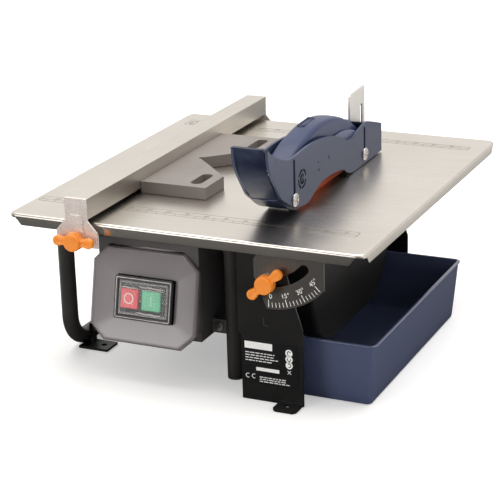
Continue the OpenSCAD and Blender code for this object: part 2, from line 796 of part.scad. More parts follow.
module housing_screws() {
    color("silver") for (f = [front_fix, rear_fix]) {
        rod_x(web_x, plate_left + 2, f[0], f[1], 2);
        rod_x(web_x - 2.5, web_x, f[0], f[1], 3.8);
        rod_x(plate_left + 2, plate_left + 4, f[0], f[1], 3.4);
    }
}

// ---------- knife and guard ----------

module riving_knife() {
    gap = 4;
    color("lightgray") slab_x(blade_x - knife_t / 2, knife_t) difference() {
        polygon([[79, 100], [91, 100], [91, 159.5], [112, 159.5], [112, 225], [109, 227.5], [72, 225.5],
                 [70.5, 224], [70.5, 124]]);
        translate([axis_y, axis_z]) circle(blade_d / 2 + gap, $fn = 128);
        round_rect([knife_slot_y[0], knife_bolt[1] - 4], [knife_slot_y[1], 209.6], 3.24);
        for (z = [112, 132]) translate([85, z]) circle(2.5);
    }
}

// Spacer block and the two screws that hold the knife on the web
module knife_mount() {
    color("silver") {
        difference() {
            span([plate_left, 79.5, 104], [blade_x - knife_t / 2, 90.5, 140]);
            translate([0, axis_y, axis_z]) rotate([0, 90, 0]) cylinder(r = blade_d / 2 + 4, h = 100, $fn = 128);
        }
        for (z = [112, 132]) {
            rod_x(web_x, blade_x + 2, 85, z, 2.5);
            rod_x(blade_x + knife_t / 2, blade_x + 4, 85, z, 4.2);
            rod_x(web_x - 3, web_x, 85, z, 4.2);
        }
    }
}

// Side plate of the shroud in (y, z): a dipped and humped top, an arched bottom
function shroud_top() = smooth([[-171, 235], [-160, 227], [-147, 220.5], [-130, 214.5], [-111, 213],
    [-82, 214.5], [-53, 213.5], [-22, 209], [3, 201], [20, 194], [34, 192.5], [50, 195.5], [72, 199],
    [90, 195], [116, 187]]);
function shroud_bottom() = smooth([[67, 157], [34, 157], [18, 161.5], [8, 167], [-20, 170.5], [-45, 170.5],
    [-60, 167], [-79, 160.5], [-96, 161], [-113, 165], [-127, 172], [-142, 181], [-151, 191.5],
    [-166, 212], [-171, 226]]);

module shroud_side() {
    difference() {
        polygon(concat(shroud_top(), [[116, 157.7]], shroud_bottom()));
        for (s = [[front_screw, 39], [rear_screw, 28.5]])
            round_rect(s[0] - [slot_half, slot_half], s[0] + [slot_half, s[1]], slot_half - eps);
    }
}

// Curved front scoop, from its lip down to the table
function scoop() = smooth([[-171.5, 234], [-166, 216], [-156, 198], [-142, 182], [-124, 168], [-107, 160],
    [-93, 157.2]], 7);

module guard_shroud() {
    rib = 3;
    color("slategray") {
        difference() {
            for (x = [guard_x[0], guard_x[1] - guard_wall]) slab_x(x, guard_wall) shroud_side();
            rod_x(guard_x[0] - 1, guard_x[0] + guard_wall + 1, knife_bolt[0], knife_bolt[1], 3);
        }
        slab_x(guard_x[0] + 1, guard_x[1] - guard_x[0] - 5)
            polygon(concat(scoop(), flip(shift(scoop(), [2.2, 1.6]))));
        slab_x(guard_x[0] + 1, guard_x[1] - guard_x[0] - 5)
            polygon([[-173.5, 233.5], [-169, 233.5], [-169, 235.5], [-173.5, 235.5]]);
        // Rear block: skin, back wall and two ribs beside the knife
        difference() {
            union() {
                slab_x(guard_x[0] + 1, guard_x[1] - guard_x[0] - 2) polygon(concat(
                    smooth([[74, 197.6], [90, 193.8], [115, 186.2]], 4),
                    flip(smooth([[74, 195], [90, 191.2], [113, 184.2]], 4))));
                span([guard_x[0] + 1, 113, 158], [guard_x[1] - 1, 115.8, 186]);
                for (x = [blade_x - knife_t / 2 - 0.3 - rib, blade_x + knife_t / 2 + 0.3])
                    span([x, 82, 158], [x + rib, 114, 187]);
            }
            span([blade_x - knife_t / 2 - 0.3, 60, 150], [blade_x + knife_t / 2 + 0.3, 112.4, 240]);
            rod_x(guard_x[0] - 1, guard_x[1] - guard_wall, knife_bolt[0], knife_bolt[1], 3);
        }
    }
}

// Hump over the blade in (y, z)
function core_crest() = smooth([[-124, 201], [-102, 209.5], [-82, 216], [-61, 220.5], [-40, 223.5],
    [-15, 224], [13, 219.5], [35, 211.5], [58, 200], [72, 191]]);

module guard_core() {
    color("darkslateblue") difference() {
        slab_x(core_x[0], core_x[1] - core_x[0]) polygon(concat(core_crest(),
            [[72, 161.5], [60, 161.5], [46, 174], [10, 176], [-70, 176], [-102, 166.5], [-114, 167], [-124, 174]]));
        slab_x(core_x[0] + core_wall, core_x[1] - core_x[0] - 2 * core_wall) polygon(concat(
            [[-124 + core_wall, 150], [-124 + core_wall, 199]],
            [for (p = core_crest()) if (p[0] > -122 && p[0] < 69) p + [0, -core_wall]],
            [[72 - core_wall, 150]]));
        span([blade_x - knife_t / 2 - 0.3, 60, 150], [blade_x + knife_t / 2 + 0.3, 80, 240]);
        for (s = [front_screw, rear_screw]) rod_x(0, 100, s[0], s[1], 1.7);
    }
}

// Pan screws with spacers that join the shroud and the core, two on each side
module guard_screws() {
    color("silver") for (s = [front_screw, rear_screw]) {
        rod_x(core_x[1] - core_wall, guard_x[1], s[0], s[1], 1.7);
        rod_x(core_x[1], guard_x[1] - guard_wall, s[0], s[1], 4);
        rod_x(guard_x[1], guard_x[1] + 3, s[0], s[1], 6.5);
        rod_x(guard_x[0], core_x[0] + core_wall, s[0], s[1], 1.7);
        rod_x(guard_x[0] + guard_wall, core_x[0], s[0], s[1], 4);
        rod_x(guard_x[0] - 3, guard_x[0], s[0], s[1], 6.5);
    }
}

module guard_clamp_bolt() {
    color("silver") {
        rod_x(guard_x[0], guard_x[1] - guard_wall, knife_bolt[0], knife_bolt[1], 3);
        rod_x(guard_x[0] - 4, guard_x[0], knife_bolt[0], knife_bolt[1], 6);
    }
}

// ---------- tray ----------

// Tapered tub between two rectangles, corner radius r
module tub(low_a, low_b, z0, top_a, top_b, z1, r) {
    hull() {
        slab_z(z0, eps) round_rect(low_a, low_b, r, $fn = 32);
        slab_z(z1 - eps, eps) round_rect(top_a, top_b, r, $fn = 32);
    }
}

module water_tray() {
    lip = 1.5;
    a = [tray_x[0] + lip, tray_y[0] + lip];
    b = [tray_x[1] - lip, tray_y[1] - lip];
    in = [tray_wall, tray_wall];
    color("steelblue") difference() {
        union() {
            tub(a + [5, 3], b - [5, 6], 0, a, b, tray_h, 4);
            slab_z(tray_h - 2.5, 2.5) round_rect(a - [lip, lip], b + [lip, lip], 5);
        }
        tub(a + [5, 3] + in, b - [5, 6] - in, tray_wall, a + in, b - in, tray_h + 1, 3);
    }
}

// ---------- build ----------

table_top();
protractor_front();
protractor_rear();
fence_bar();
fence_end_front();
fence_end_rear();
fence_clip();
fence_clamps();
fence_bolts();
fence_knob_front();
fence_knob_rear();
corner_guide();
front_bracket();
rear_bracket();
motor_plate();
post_ties();
leg_tube();
tube_plugs();
rest_pads();
foot_brackets();
foot_bolts();
tilt_bolts();
tilt_guide_pins();
tilt_knob_front();
tilt_knob_rear();
rating_label();
motor_casing();
casing_screw();
panel_cover();
switch_body();
switch_bezel();
switch_membrane();
stop_button();
start_button();
capacitor();
cable_gland();
front_end_bell();
rear_end_bell();
tie_rods();
stator_core();
stator_windings();
bearings();
motor_shaft();
rotor_core();
cooling_fan();
inner_flange();
diamond_blade();
outer_flange();
arbor_nut();
blade_housing();
housing_screws();
riving_knife();
knife_mount();
guard_shroud();
guard_core();
guard_screws();
guard_clamp_bolt();
water_tray();
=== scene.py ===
"""Looks of a bench wet tile saw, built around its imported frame.

Lengths are metres in the frame's own axes: +X towards the water tray, -Y towards the switch,
+Z up, and the floor at z = 0. Sizes in the dataclass fields below are millimetres, and each
class turns them into metres where it builds its arrays.
"""
import logging
import math
from dataclasses import dataclass, field, replace
from enum import Enum
from typing import Protocol, Sequence

import bmesh
import bpy
import numpy as np
from mathutils import Matrix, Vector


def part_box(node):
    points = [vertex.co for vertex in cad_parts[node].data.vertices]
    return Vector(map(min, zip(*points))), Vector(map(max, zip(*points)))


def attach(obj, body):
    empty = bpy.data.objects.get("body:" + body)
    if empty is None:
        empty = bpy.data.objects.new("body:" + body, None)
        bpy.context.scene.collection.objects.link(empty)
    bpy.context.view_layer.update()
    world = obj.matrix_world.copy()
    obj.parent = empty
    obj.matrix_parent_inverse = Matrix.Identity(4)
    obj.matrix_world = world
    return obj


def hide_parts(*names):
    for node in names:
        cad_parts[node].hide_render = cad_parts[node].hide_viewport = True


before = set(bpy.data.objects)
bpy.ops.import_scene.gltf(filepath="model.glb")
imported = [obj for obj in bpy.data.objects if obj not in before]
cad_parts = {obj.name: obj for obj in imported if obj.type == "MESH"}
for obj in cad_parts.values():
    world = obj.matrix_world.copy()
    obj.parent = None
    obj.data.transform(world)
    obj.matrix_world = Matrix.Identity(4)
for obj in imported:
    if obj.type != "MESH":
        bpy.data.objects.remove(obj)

Array = np.ndarray
Color = tuple[float, float, float]
Pair = tuple[float, float]
Triple = tuple[float, float, float]

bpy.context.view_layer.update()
MADE: dict[str, bpy.types.Material] = {}
MM = 0.001
log = logging.getLogger("tile_saw")


# ---------- small helpers ----------


def tone(code: str) -> Color:
    """The linear colour of a six-digit screen colour.

    Args:
        code: Two hexadecimal digits each for red, green and blue.

    Returns:
        Red, green and blue as the shader wants them.
    """
    screen = np.array([int(code[i : i + 2], 16) for i in (0, 2, 4)]) / 255
    linear = np.where(screen <= 0.04045, screen / 12.92, ((screen + 0.055) / 1.055) ** 2.4)
    return tuple(float(c) for c in linear)


def low_high(node: str) -> tuple[Array, Array]:
    """The lowest and highest corner of a CAD node in millimetres."""
    low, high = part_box(node)
    return np.array(low) / MM, np.array(high) / MM


def unit(vectors: Array) -> Array:
    """The vectors divided by their lengths."""
    return vectors / np.linalg.norm(vectors, axis=-1, keepdims=True)


@dataclass(frozen=True)
class Place:
    """A local frame: an origin with axes to the right, upwards and outwards."""

    right: Triple
    up: Triple
    out: Triple
    origin: Triple = (0.0, 0.0, 0.0)

    def world(self, local: Array) -> Array:
        """Origin + a right + b up + c out, for local points (a, b, c)."""
        return np.array(self.origin) + local @ np.array([self.right, self.up, self.out])

    def at(self, origin: Sequence[float]) -> "Place":
        """The same axes at another origin."""
        return replace(self, origin=tuple(float(v) for v in origin))


FRONT = Place((1, 0, 0), (0, 0, 1), (0, -1, 0))
BACK = Place((-1, 0, 0), (0, 0, 1), (0, 1, 0))
RIGHT = Place((0, 1, 0), (0, 0, 1), (1, 0, 0))
LEFT = Place((0, -1, 0), (0, 0, 1), (-1, 0, 0))
TOP = Place((1, 0, 0), (0, 1, 0), (0, 0, 1))


# ---------- finishes ----------


class Grain(Enum):
    """Fine structure of a surface: cells per metre along X, Y and Z."""

    BRUSHED_X = (25.0, 2600.0, 2600.0)
    BRUSHED_Y = (2400.0, 30.0, 2400.0)
    BRUSHED_Z = (2500.0, 2500.0, 40.0)
    MOULDED = (1500.0, 1500.0, 1500.0)
    SMOOTH = (320.0, 320.0, 320.0)
    POWDER = (700.0, 700.0, 700.0)
    CAST = (420.0, 420.0, 430.0)
    WOUND = (900.0, 160.0, 160.0)


class Graph:
    """A material's node tree with short ways to add and join nodes."""

    def __init__(self, name: str) -> None:
        """Makes a material of that name with an empty tree."""
        self.material = bpy.data.materials.new(name)
        self.material.use_nodes = True
        self.tree = self.material.node_tree
        self.tree.nodes.clear()

    def node(self, kind: str, settings: dict | None = None, **inputs: object) -> bpy.types.Node:
        """Adds a node and fills or joins its inputs.

        Args:
            kind: The node's type without its ShaderNode prefix.
            settings: Properties of the node itself.
            inputs: Input names with spaces as underscores; a socket is joined, anything else
                becomes the input's own value.

        Returns:
            The new node.
        """
        made = self.tree.nodes.new("ShaderNode" + kind)
        for key, value in (settings or {}).items():
            setattr(made, key, value)
        for key, value in inputs.items():
            self.put(made.inputs[key.replace("_", " ")], value)
        return made

    def put(self, socket: bpy.types.NodeSocket, value: object) -> None:
        """Joins a socket to another one, or sets its own value."""
        if isinstance(value, bpy.types.NodeSocket):
            self.tree.links.new(value, socket)
        else:
            socket.default_value = value

    def math(self, operation: str, *values: object) -> bpy.types.NodeSocket:
        """Adds a Math node.

        Args:
            operation: Blender's name of the operation.
            values: One to three sockets or numbers.

        Returns:
            The result's socket.
        """
        made = self.node("Math", {"operation": operation})
        for socket, value in zip(made.inputs, values):
            self.put(socket, value)
        return made.outputs[0]

    def ramp(
        self, value: object, low: float, high: float, to_low: float, to_high: float
    ) -> bpy.types.NodeSocket:
        """A number carried from one range to another, kept inside the second one."""
        made = self.node("MapRange", {"clamp": True}, Value=value)
        for key, number in zip(
            ("From Min", "From Max", "To Min", "To Max"), (low, high, to_low, to_high)
        ):
            made.inputs[key].default_value = number
        return made.outputs["Result"]

    def noise(
        self, coords: object, scale: float, detail: float = 3.0, warp: float = 0.0
    ) -> bpy.types.NodeSocket:
        """A noise value between 0 and 1 at the given coordinates."""
        made = self.node("TexNoise", None, Vector=coords, Scale=scale, Detail=detail, Distortion=warp)
        return made.outputs["Fac"]

    def blend(self, factor: object, first: object, second: object) -> bpy.types.NodeSocket:
        """Mixes two colours, given as sockets or as linear colours."""
        made = self.node("Mix", {"data_type": "RGBA", "clamp_factor": True})
        self.put(made.inputs["Factor"], factor)
        for key, value in (("A", first), ("B", second)):
            socket = next(s for s in made.inputs if s.name == key and s.type == "RGBA")
            self.put(socket, (*value, 1.0) if isinstance(value, tuple) else value)
        return next(s for s in made.outputs if s.type == "RGBA")


@dataclass(frozen=True)
class Finish:
    """A finish: clouded colour, fine grain in colour, roughness and height, and faint scratches."""

    name: str
    slot: str
    color: Color
    cloud: Color
    roughness: float
    grain: Grain = Grain.MOULDED
    metallic: float = 0.0
    cloud_size: float = 0.05
    cloud_share: float = 0.6
    grain_share: float = 0.12
    rough_spread: float = 0.07
    bump: float = 0.12
    scratches: float = 0.0
    coat: float = 0.0
    coat_roughness: float = 0.12
    specular: float = 0.5
    cover: float = 1.0

    def material(self) -> bpy.types.Material:
        """Returns the finish as a material, made once."""
        if self.name not in MADE:
            MADE[self.name] = self.build()
        return MADE[self.name]

    def build(self) -> bpy.types.Material:
        """Makes the node tree: object coordinates, two noises, scratches and one shader.

        Returns:
            The new material.
        """
        g = Graph(self.name)
        coords = g.node("TexCoord").outputs["Object"]
        stretched = g.node("Mapping", None, Vector=coords, Scale=self.grain.value).outputs["Vector"]
        fine = g.noise(stretched, 1.0, 4.0)
        cloud = g.noise(coords, 1.0 / self.cloud_size, 5.0, 0.5)
        base = self.base_color(g, coords)
        clouded = g.blend(g.ramp(cloud, 0.36, 0.64, 0.0, self.cloud_share), base, self.cloud)
        grained = g.blend(g.ramp(fine, 0.4, 0.75, 0.0, self.grain_share), clouded, self.cloud)
        rough = g.math(
            "ADD",
            g.ramp(fine, 0.25, 0.75, self.roughness - self.rough_spread, self.roughness),
            g.ramp(cloud, 0.3, 0.7, 0.0, self.rough_spread),
        )
        if self.scratches:
            rough = g.math("ADD", rough, self.scratch_lines(g, coords))
        height = g.node("Bump", None, Strength=self.bump, Distance=0.1 * MM, Height=fine)
        shader = g.node(
            "BsdfPrincipled", None, Base_Color=grained, Roughness=rough, Normal=height.outputs[0]
        )
        for key, number in {
            "Metallic": self.metallic,
            "Specular IOR Level": self.specular,
            "Coat Weight": self.coat,
            "Coat Roughness": self.coat_roughness,
            "Alpha": self.cover,
        }.items():
            shader.inputs[key].default_value = number
        g.node("OutputMaterial", None, Surface=shader.outputs[0])
        return g.material

    def base_color(self, g: Graph, coords: bpy.types.NodeSocket) -> object:
        """The colour below the clouds; other finishes change this one."""
        return self.color

    def scratch_lines(self, g: Graph, coords: bpy.types.NodeSocket) -> bpy.types.NodeSocket:
        """Thin oblique lines: stretched noise above a high threshold, twice at two angles."""
        lines = []
        for turn in (0.5, -0.9):
            turned = g.node("Mapping", None, Vector=coords, Rotation=(0.0, 0.0, turn))
            squeezed = g.node(
                "Mapping", None, Vector=turned.outputs[0], Scale=(14.0, 1300.0, 400.0)
            )
            found = g.noise(squeezed.outputs[0], 1.0, 2.0)
            lines.append(g.ramp(found, 0.62, 0.7, 0.0, self.scratches))
        return g.math("ADD", *lines)


@dataclass(frozen=True)
class SlabFinish(Finish):
    """A finish with a second colour between two planes across X, in metres."""

    inner: Color = (0.0, 0.0, 0.0)
    inner_from: float = 0.0
    inner_to: float = 0.0

    def base_color(self, g: Graph, coords: bpy.types.NodeSocket) -> object:
        """The outer colour, or the inner one where X lies between the two planes."""
        x = g.node("SeparateXYZ", None, Vector=coords).outputs["X"]
        inside = g.math(
            "MULTIPLY", g.math("GREATER_THAN", x, self.inner_from), g.math("LESS_THAN", x, self.inner_to)
        )
        return g.blend(inside, self.color, self.inner)


@dataclass(frozen=True)
class TurnedFinish(Finish):
    """A finish with rings about an axis along X through (y, z), in metres."""

    axis_y: float = 0.0
    axis_z: float = 0.0
    ring_pitch: float = 0.8 * MM

    def base_color(self, g: Graph, coords: bpy.types.NodeSocket) -> object:
        """The colour mixed with the cloud colour in rings: noise of the distance to the axis."""
        split = g.node("SeparateXYZ", None, Vector=coords)
        dy = g.math("SUBTRACT", split.outputs["Y"], self.axis_y)
        dz = g.math("SUBTRACT", split.outputs["Z"], self.axis_z)
        distance = g.math("SQRT", g.math("ADD", g.math("MULTIPLY", dy, dy), g.math("MULTIPLY", dz, dz)))
        flat = g.node("CombineXYZ", None, X=distance, Y=0.0, Z=0.0).outputs[0]
        rings = g.noise(flat, 1.0 / self.ring_pitch, 2.0)
        return g.blend(g.ramp(rings, 0.35, 0.65, 0.0, 0.7), self.color, self.cloud)


SHEET_STEEL = Finish(
    "sheet_steel", "steel_sheet", tone("E6E0D8"), tone("CFC8BF"), 0.29, Grain.BRUSHED_X,
    metallic=1.0, cloud_size=0.11, cloud_share=0.45, grain_share=0.75, rough_spread=0.04,
    bump=0.01, scratches=0.06,
)
# The folded edges: smoother steel, and darker as a painted shade on the faces below the bend.
SHADED_FOLD_STEEL = replace(
    SHEET_STEEL, name="fold_steel_painted_shade", color=tone("D2CCC4"), cloud=tone("B4AEA6"), roughness=0.17,
    grain=Grain.SMOOTH, scratches=0.0, bump=0.02, grain_share=0.2,
)
FENCE_STEEL = replace(
    SHEET_STEEL, name="fence_steel", color=tone("DDD8D0"), cloud=tone("C6C0B7"),
    grain=Grain.BRUSHED_Y, roughness=0.36,
)
DULL_ZINC = Finish(
    "dull_zinc", "zinc_steel", tone("F6ECE6"), tone("DED4CE"), 0.27, Grain.SMOOTH,
    metallic=0.35, cloud_size=0.012, cloud_share=0.5, rough_spread=0.08, bump=0.1, scratches=0.1,
)
SCALE_STEEL = replace(
    SHEET_STEEL, name="scale_steel", slot="plate_steel", color=tone("8F8B86"),
    cloud=tone("77736E"), grain=Grain.BRUSHED_Z, roughness=0.42,
)
KNIFE_STEEL = replace(
    SHEET_STEEL, name="knife_plate_steel", slot="knife_steel", color=tone("F6F3F0"), cloud=tone("E4E0DC"),
    grain=Grain.BRUSHED_Y, roughness=0.34,
)
BRIGHT_ZINC = Finish(
    "bright_zinc", "zinc_steel", tone("E2DFDB"), tone("C3BFB9"), 0.2, Grain.SMOOTH,
    metallic=1.0, cloud_size=0.012, cloud_share=0.5, rough_spread=0.06, bump=0.12, scratches=0.1,
)
BLACK_POWDER = Finish(
    "black_powder_coat", "black_paint", tone("141313"), tone("1C1A19"), 0.4, Grain.POWDER,
    cloud_size=0.04, rough_spread=0.08, bump=0.3,
)
TUBE_BLACK = replace(
    BLACK_POWDER, name="tube_black", color=tone("33312F"), cloud=tone("3E3B38"), roughness=0.33,
    grain=Grain.SMOOTH, bump=0.1,
)
ORANGE = Finish(
    "orange_moulding", "orange_plastic", tone("FF992F"), tone("F68625"), 0.36, Grain.MOULDED,
    cloud_size=0.02, cloud_share=0.5, bump=0.12, coat=0.1,
)
GUIDE_GREY = Finish(
    "guide_grey", "guide_plastic", tone("8E8680"), tone("7F7671"), 0.46, Grain.MOULDED,
    cloud_size=0.06, cloud_share=0.5, bump=0.3,
)
RUBBER = Finish(
    "pad_rubber", "rubber", tone("141414"), tone("1E1D1C"), 0.72, Grain.MOULDED, bump=0.4,
)
CASING_BLACK = Finish(
    "casing_black", "casing_plastic", tone("4E4B4A"), tone("585554"), 0.42, Grain.MOULDED,
    cloud_size=0.05, bump=0.3,
)
PANEL_GREY = Finish(
    "panel_grey", "panel_plastic", tone("797274"), tone("837C7E"), 0.34, Grain.MOULDED,
    cloud_size=0.07, cloud_share=0.5, bump=0.12, coat=1.0, coat_roughness=0.24,
)
SWITCH_BLACK = Finish(
    "switch_case_black", "switch_black", tone("161515"), tone("201E1F"), 0.4, Grain.MOULDED, bump=0.15,
)
BEZEL_DARK = Finish(
    "bezel_dark", "bezel_grey", tone("1F1D1D"), tone("2A2828"), 0.3, Grain.SMOOTH, bump=0.05,
)
# Near-white and partly see-through: painted highlight on the clear film's streaks and along the bezel's
# ridge.
PAINTED_FILM_HIGHLIGHT = Finish(
    "film_painted_highlight", "clear_film", tone("EFE9E7"), tone("C4BDBB"), 0.16, Grain.SMOOTH, cloud_size=0.008,
    cloud_share=0.9, bump=0.2, coat=0.5, cover=0.75,
)
CLEAR_FILM = Finish(
    "clear_skin", "clear_film", tone("F4F5F6"), tone("FFFFFF"), 0.06, Grain.SMOOTH,
    cloud_size=0.02, cloud_share=0.3, rough_spread=0.03, bump=0.0, specular=0.8, cover=0.07,
)
STOP_RED = Finish(
    "stop_red", "red_plastic", tone("F24E56"), tone("E64048"), 0.34, Grain.MOULDED,
    cloud_size=0.015, bump=0.08,
)
START_GREEN = Finish(
    "start_green", "green_plastic", tone("62CB9B"), tone("52BD8C"), 0.34, Grain.MOULDED,
    cloud_size=0.015, bump=0.08,
)
ALUMINIUM = Finish(
    "cast_aluminium", "aluminium", tone("B9B8B6"), tone("9E9C99"), 0.5, Grain.CAST,
    metallic=1.0, cloud_size=0.02, bump=0.6,
)
LAMINATIONS = Finish(
    "stacked_laminations", "laminations", tone("8A8D92"), tone("5F6165"), 0.45, Grain.BRUSHED_Z,
    metallic=0.9, grain_share=0.7, bump=0.5,
)
COPPER = Finish(
    "enamelled_copper", "copper", tone("B5713F"), tone("8E4F27"), 0.3, Grain.WOUND,
    metallic=0.85, grain_share=0.8, bump=1.0,
)
BEARING = Finish(
    "ground_steel", "bearing_steel", tone("CFCFD0"), tone("B4B4B6"), 0.22, Grain.SMOOTH,
    metallic=1.0, cloud_size=0.01,
)
FAN_BLACK = replace(CASING_BLACK, name="fan_moulding", slot="fan_black", roughness=0.5)
BLADE_ORANGE = TurnedFinish(
    "blade_lacquer", "blade_orange", tone("DE6C3C"), tone("C4562B"), 0.4, Grain.SMOOTH,
    metallic=0.25, cloud_size=0.03, bump=0.1, coat=0.2, axis_y=-0.017, axis_z=0.1,
)
DIAMOND_GREY = Finish(
    "diamond_rim", "blade_orange", tone("8E8781"), tone("5F5954"), 0.6, Grain.MOULDED,
    metallic=0.4, cloud_size=0.004, cloud_share=0.9, grain_share=0.6, bump=1.0,
)
GUARD_SLATE = SlabFinish(
    "guard_slate", "guard_blue", tone("464E65"), tone("4F576E"), 0.32, Grain.MOULDED,
    cloud_size=0.05, cloud_share=0.5, bump=0.1, specular=0.2,
    inner=tone("0C1830"), inner_from=0.0477, inner_to=0.0779,
)
CREST_BLUE = Finish(
    "crest_blue", "guard_blue", tone("333E60"), tone("3C4768"), 0.32, Grain.MOULDED,
    cloud_size=0.05, cloud_share=0.5, bump=0.1, specular=0.32,
)
TRAY_BLUE = Finish(
    "tray_navy", "tray_blue", tone("4B5575"), tone("525C7C"), 0.3, Grain.MOULDED,
    cloud_size=0.09, cloud_share=0.5, rough_spread=0.04, bump=0.05, coat=1.0, coat_roughness=0.2,
)
LABEL_BLACK = Finish(
    "label_black", "label_film", tone("111112"), tone("1A1A1B"), 0.3, Grain.SMOOTH, bump=0.04,
)
WHITE_PRINT = Finish(
    "white_print", "label_film", tone("FDFDFC"), tone("EEEEEC"), 0.5, Grain.SMOOTH, bump=0.04,
)
GREY_PRINT = Finish(
    "grey_print", "label_film", tone("6A645D"), tone("5A544E"), 0.5, Grain.SMOOTH, bump=0.04,
)
NAVY_PRINT = Finish(
    "navy_print", "guard_blue", tone("070A14"), tone("0B0F1C"), 0.5, Grain.SMOOTH, bump=0.04,
    specular=0.05,
)


# ---------- outlines ----------


class Outline(Protocol):
    """A closed outline in a plane, known by its distance function."""

    def distance(self, points: Array) -> Array:
        """Distance of points (..., 2) from the outline, below zero inside."""


@dataclass(frozen=True)
class RoundRect:
    """A rectangle with round corners, in millimetres."""

    centre: Pair
    half: Pair
    radius: float

    def distance(self, points: Array) -> Array:
        """Length of the overhang past the straight core, less the corner radius."""
        q = np.abs(points - np.array(self.centre)) - (np.array(self.half) - self.radius)
        outside = np.linalg.norm(np.maximum(q, 0.0), axis=-1)
        return outside + np.minimum(q.max(axis=-1), 0.0) - self.radius

    def ring(self, inset: float = 0.0, steps: int = 6) -> Array:
        """Points round the outline: four quarter circles centre + s (half - r) + r (cos t, sin t).

        Args:
            inset: How far inside the outline the ring lies.
            steps: Segments in each quarter circle.

        Returns:
            Points (4 * (steps + 1), 2), counter-clockwise.
        """
        r = max(self.radius - inset, 0.05)
        t = np.radians(90 * np.arange(4)[:, None] + np.linspace(0, 90, steps + 1)[None, :])
        sx, sy = np.array([[1, -1, -1, 1], [1, 1, -1, -1]])[:, :, None]
        x = self.centre[0] + sx * (self.half[0] - inset - r) + r * np.cos(t)
        y = self.centre[1] + sy * (self.half[1] - inset - r) + r * np.sin(t)
        return np.stack([x, y], axis=-1).reshape(-1, 2)


@dataclass(frozen=True)
class Convex:
    """A convex polygon with its corners counter-clockwise, in millimetres."""

    corners: tuple[Pair, ...]

    def distance(self, points: Array) -> Array:
        """Largest signed distance from the edges' lines."""
        p = np.array(self.corners)
        along = unit(np.roll(p, -1, axis=0) - p)
        normals = np.stack([along[:, 1], -along[:, 0]], axis=-1)
        return (points @ normals.T - (p * normals).sum(axis=-1)).max(axis=-1)


def cast(origin: Array, directions: Array, outline: Outline, inset: float = 0.0) -> Array:
    """Where rays meet the inset outline, by halving the interval on its distance function.

    Args:
        origin: A point inside the outline.
        directions: Unit vectors (n, 2).
        outline: The outline, star-shaped about the origin.
        inset: How far inside the outline the ring lies.

    Returns:
        Points (n, 2).
    """
    near, far = np.zeros(len(directions)), np.full(len(directions), 1000.0)
    for _ in range(48):
        middle = (near + far) / 2
        inside = outline.distance(origin + middle[:, None] * directions) < -inset
        near, far = np.where(inside, middle, near), np.where(inside, far, middle)
    return origin + far[:, None] * directions


def rays(origin: Array, *targets: Array) -> Array:
    """Unit vectors (n, 2) from the origin to all the targets, in order of their angle."""
    away = np.concatenate(targets) - origin
    angles = np.unique(np.round(np.arctan2(away[:, 1], away[:, 0]), 7))
    return np.stack([np.cos(angles), np.sin(angles)], axis=-1)


def rounded_path(points: Array, radii: Array, steps: int = 10) -> Array:
    """A polyline whose inner corners are arcs.

    Each corner with half angle h becomes the circle of radius r whose centre lies at
    r / sin h along the corner's bisector; its points are a slerp between the two tangent
    points.

    Args:
        points: The polyline (n, 3).
        radii: The arc radius at each inner corner (n - 2,).
        steps: Segments in each arc.

    Returns:
        The points of the whole path.
    """
    corner = points[1:-1]
    back, ahead = unit(points[:-2] - corner), unit(points[2:] - corner)
    half = np.arccos((back * ahead).sum(axis=-1)) / 2
    centre = corner + unit(back + ahead) * (radii / np.sin(half))[:, None]
    start = corner + back * (radii / np.tan(half))[:, None] - centre
    end = corner + ahead * (radii / np.tan(half))[:, None] - centre
    sweep = (np.pi - 2 * half)[:, None, None]
    s = np.linspace(0, 1, steps + 1)[None, :, None]
    arc = (np.sin((1 - s) * sweep) * start[:, None] + np.sin(s * sweep) * end[:, None]) / np.sin(sweep)
    inner = (centre[:, None] + arc).reshape(-1, 3)
    return np.concatenate([points[:1], inner, points[-1:]])


# ---------- surfaces ----------


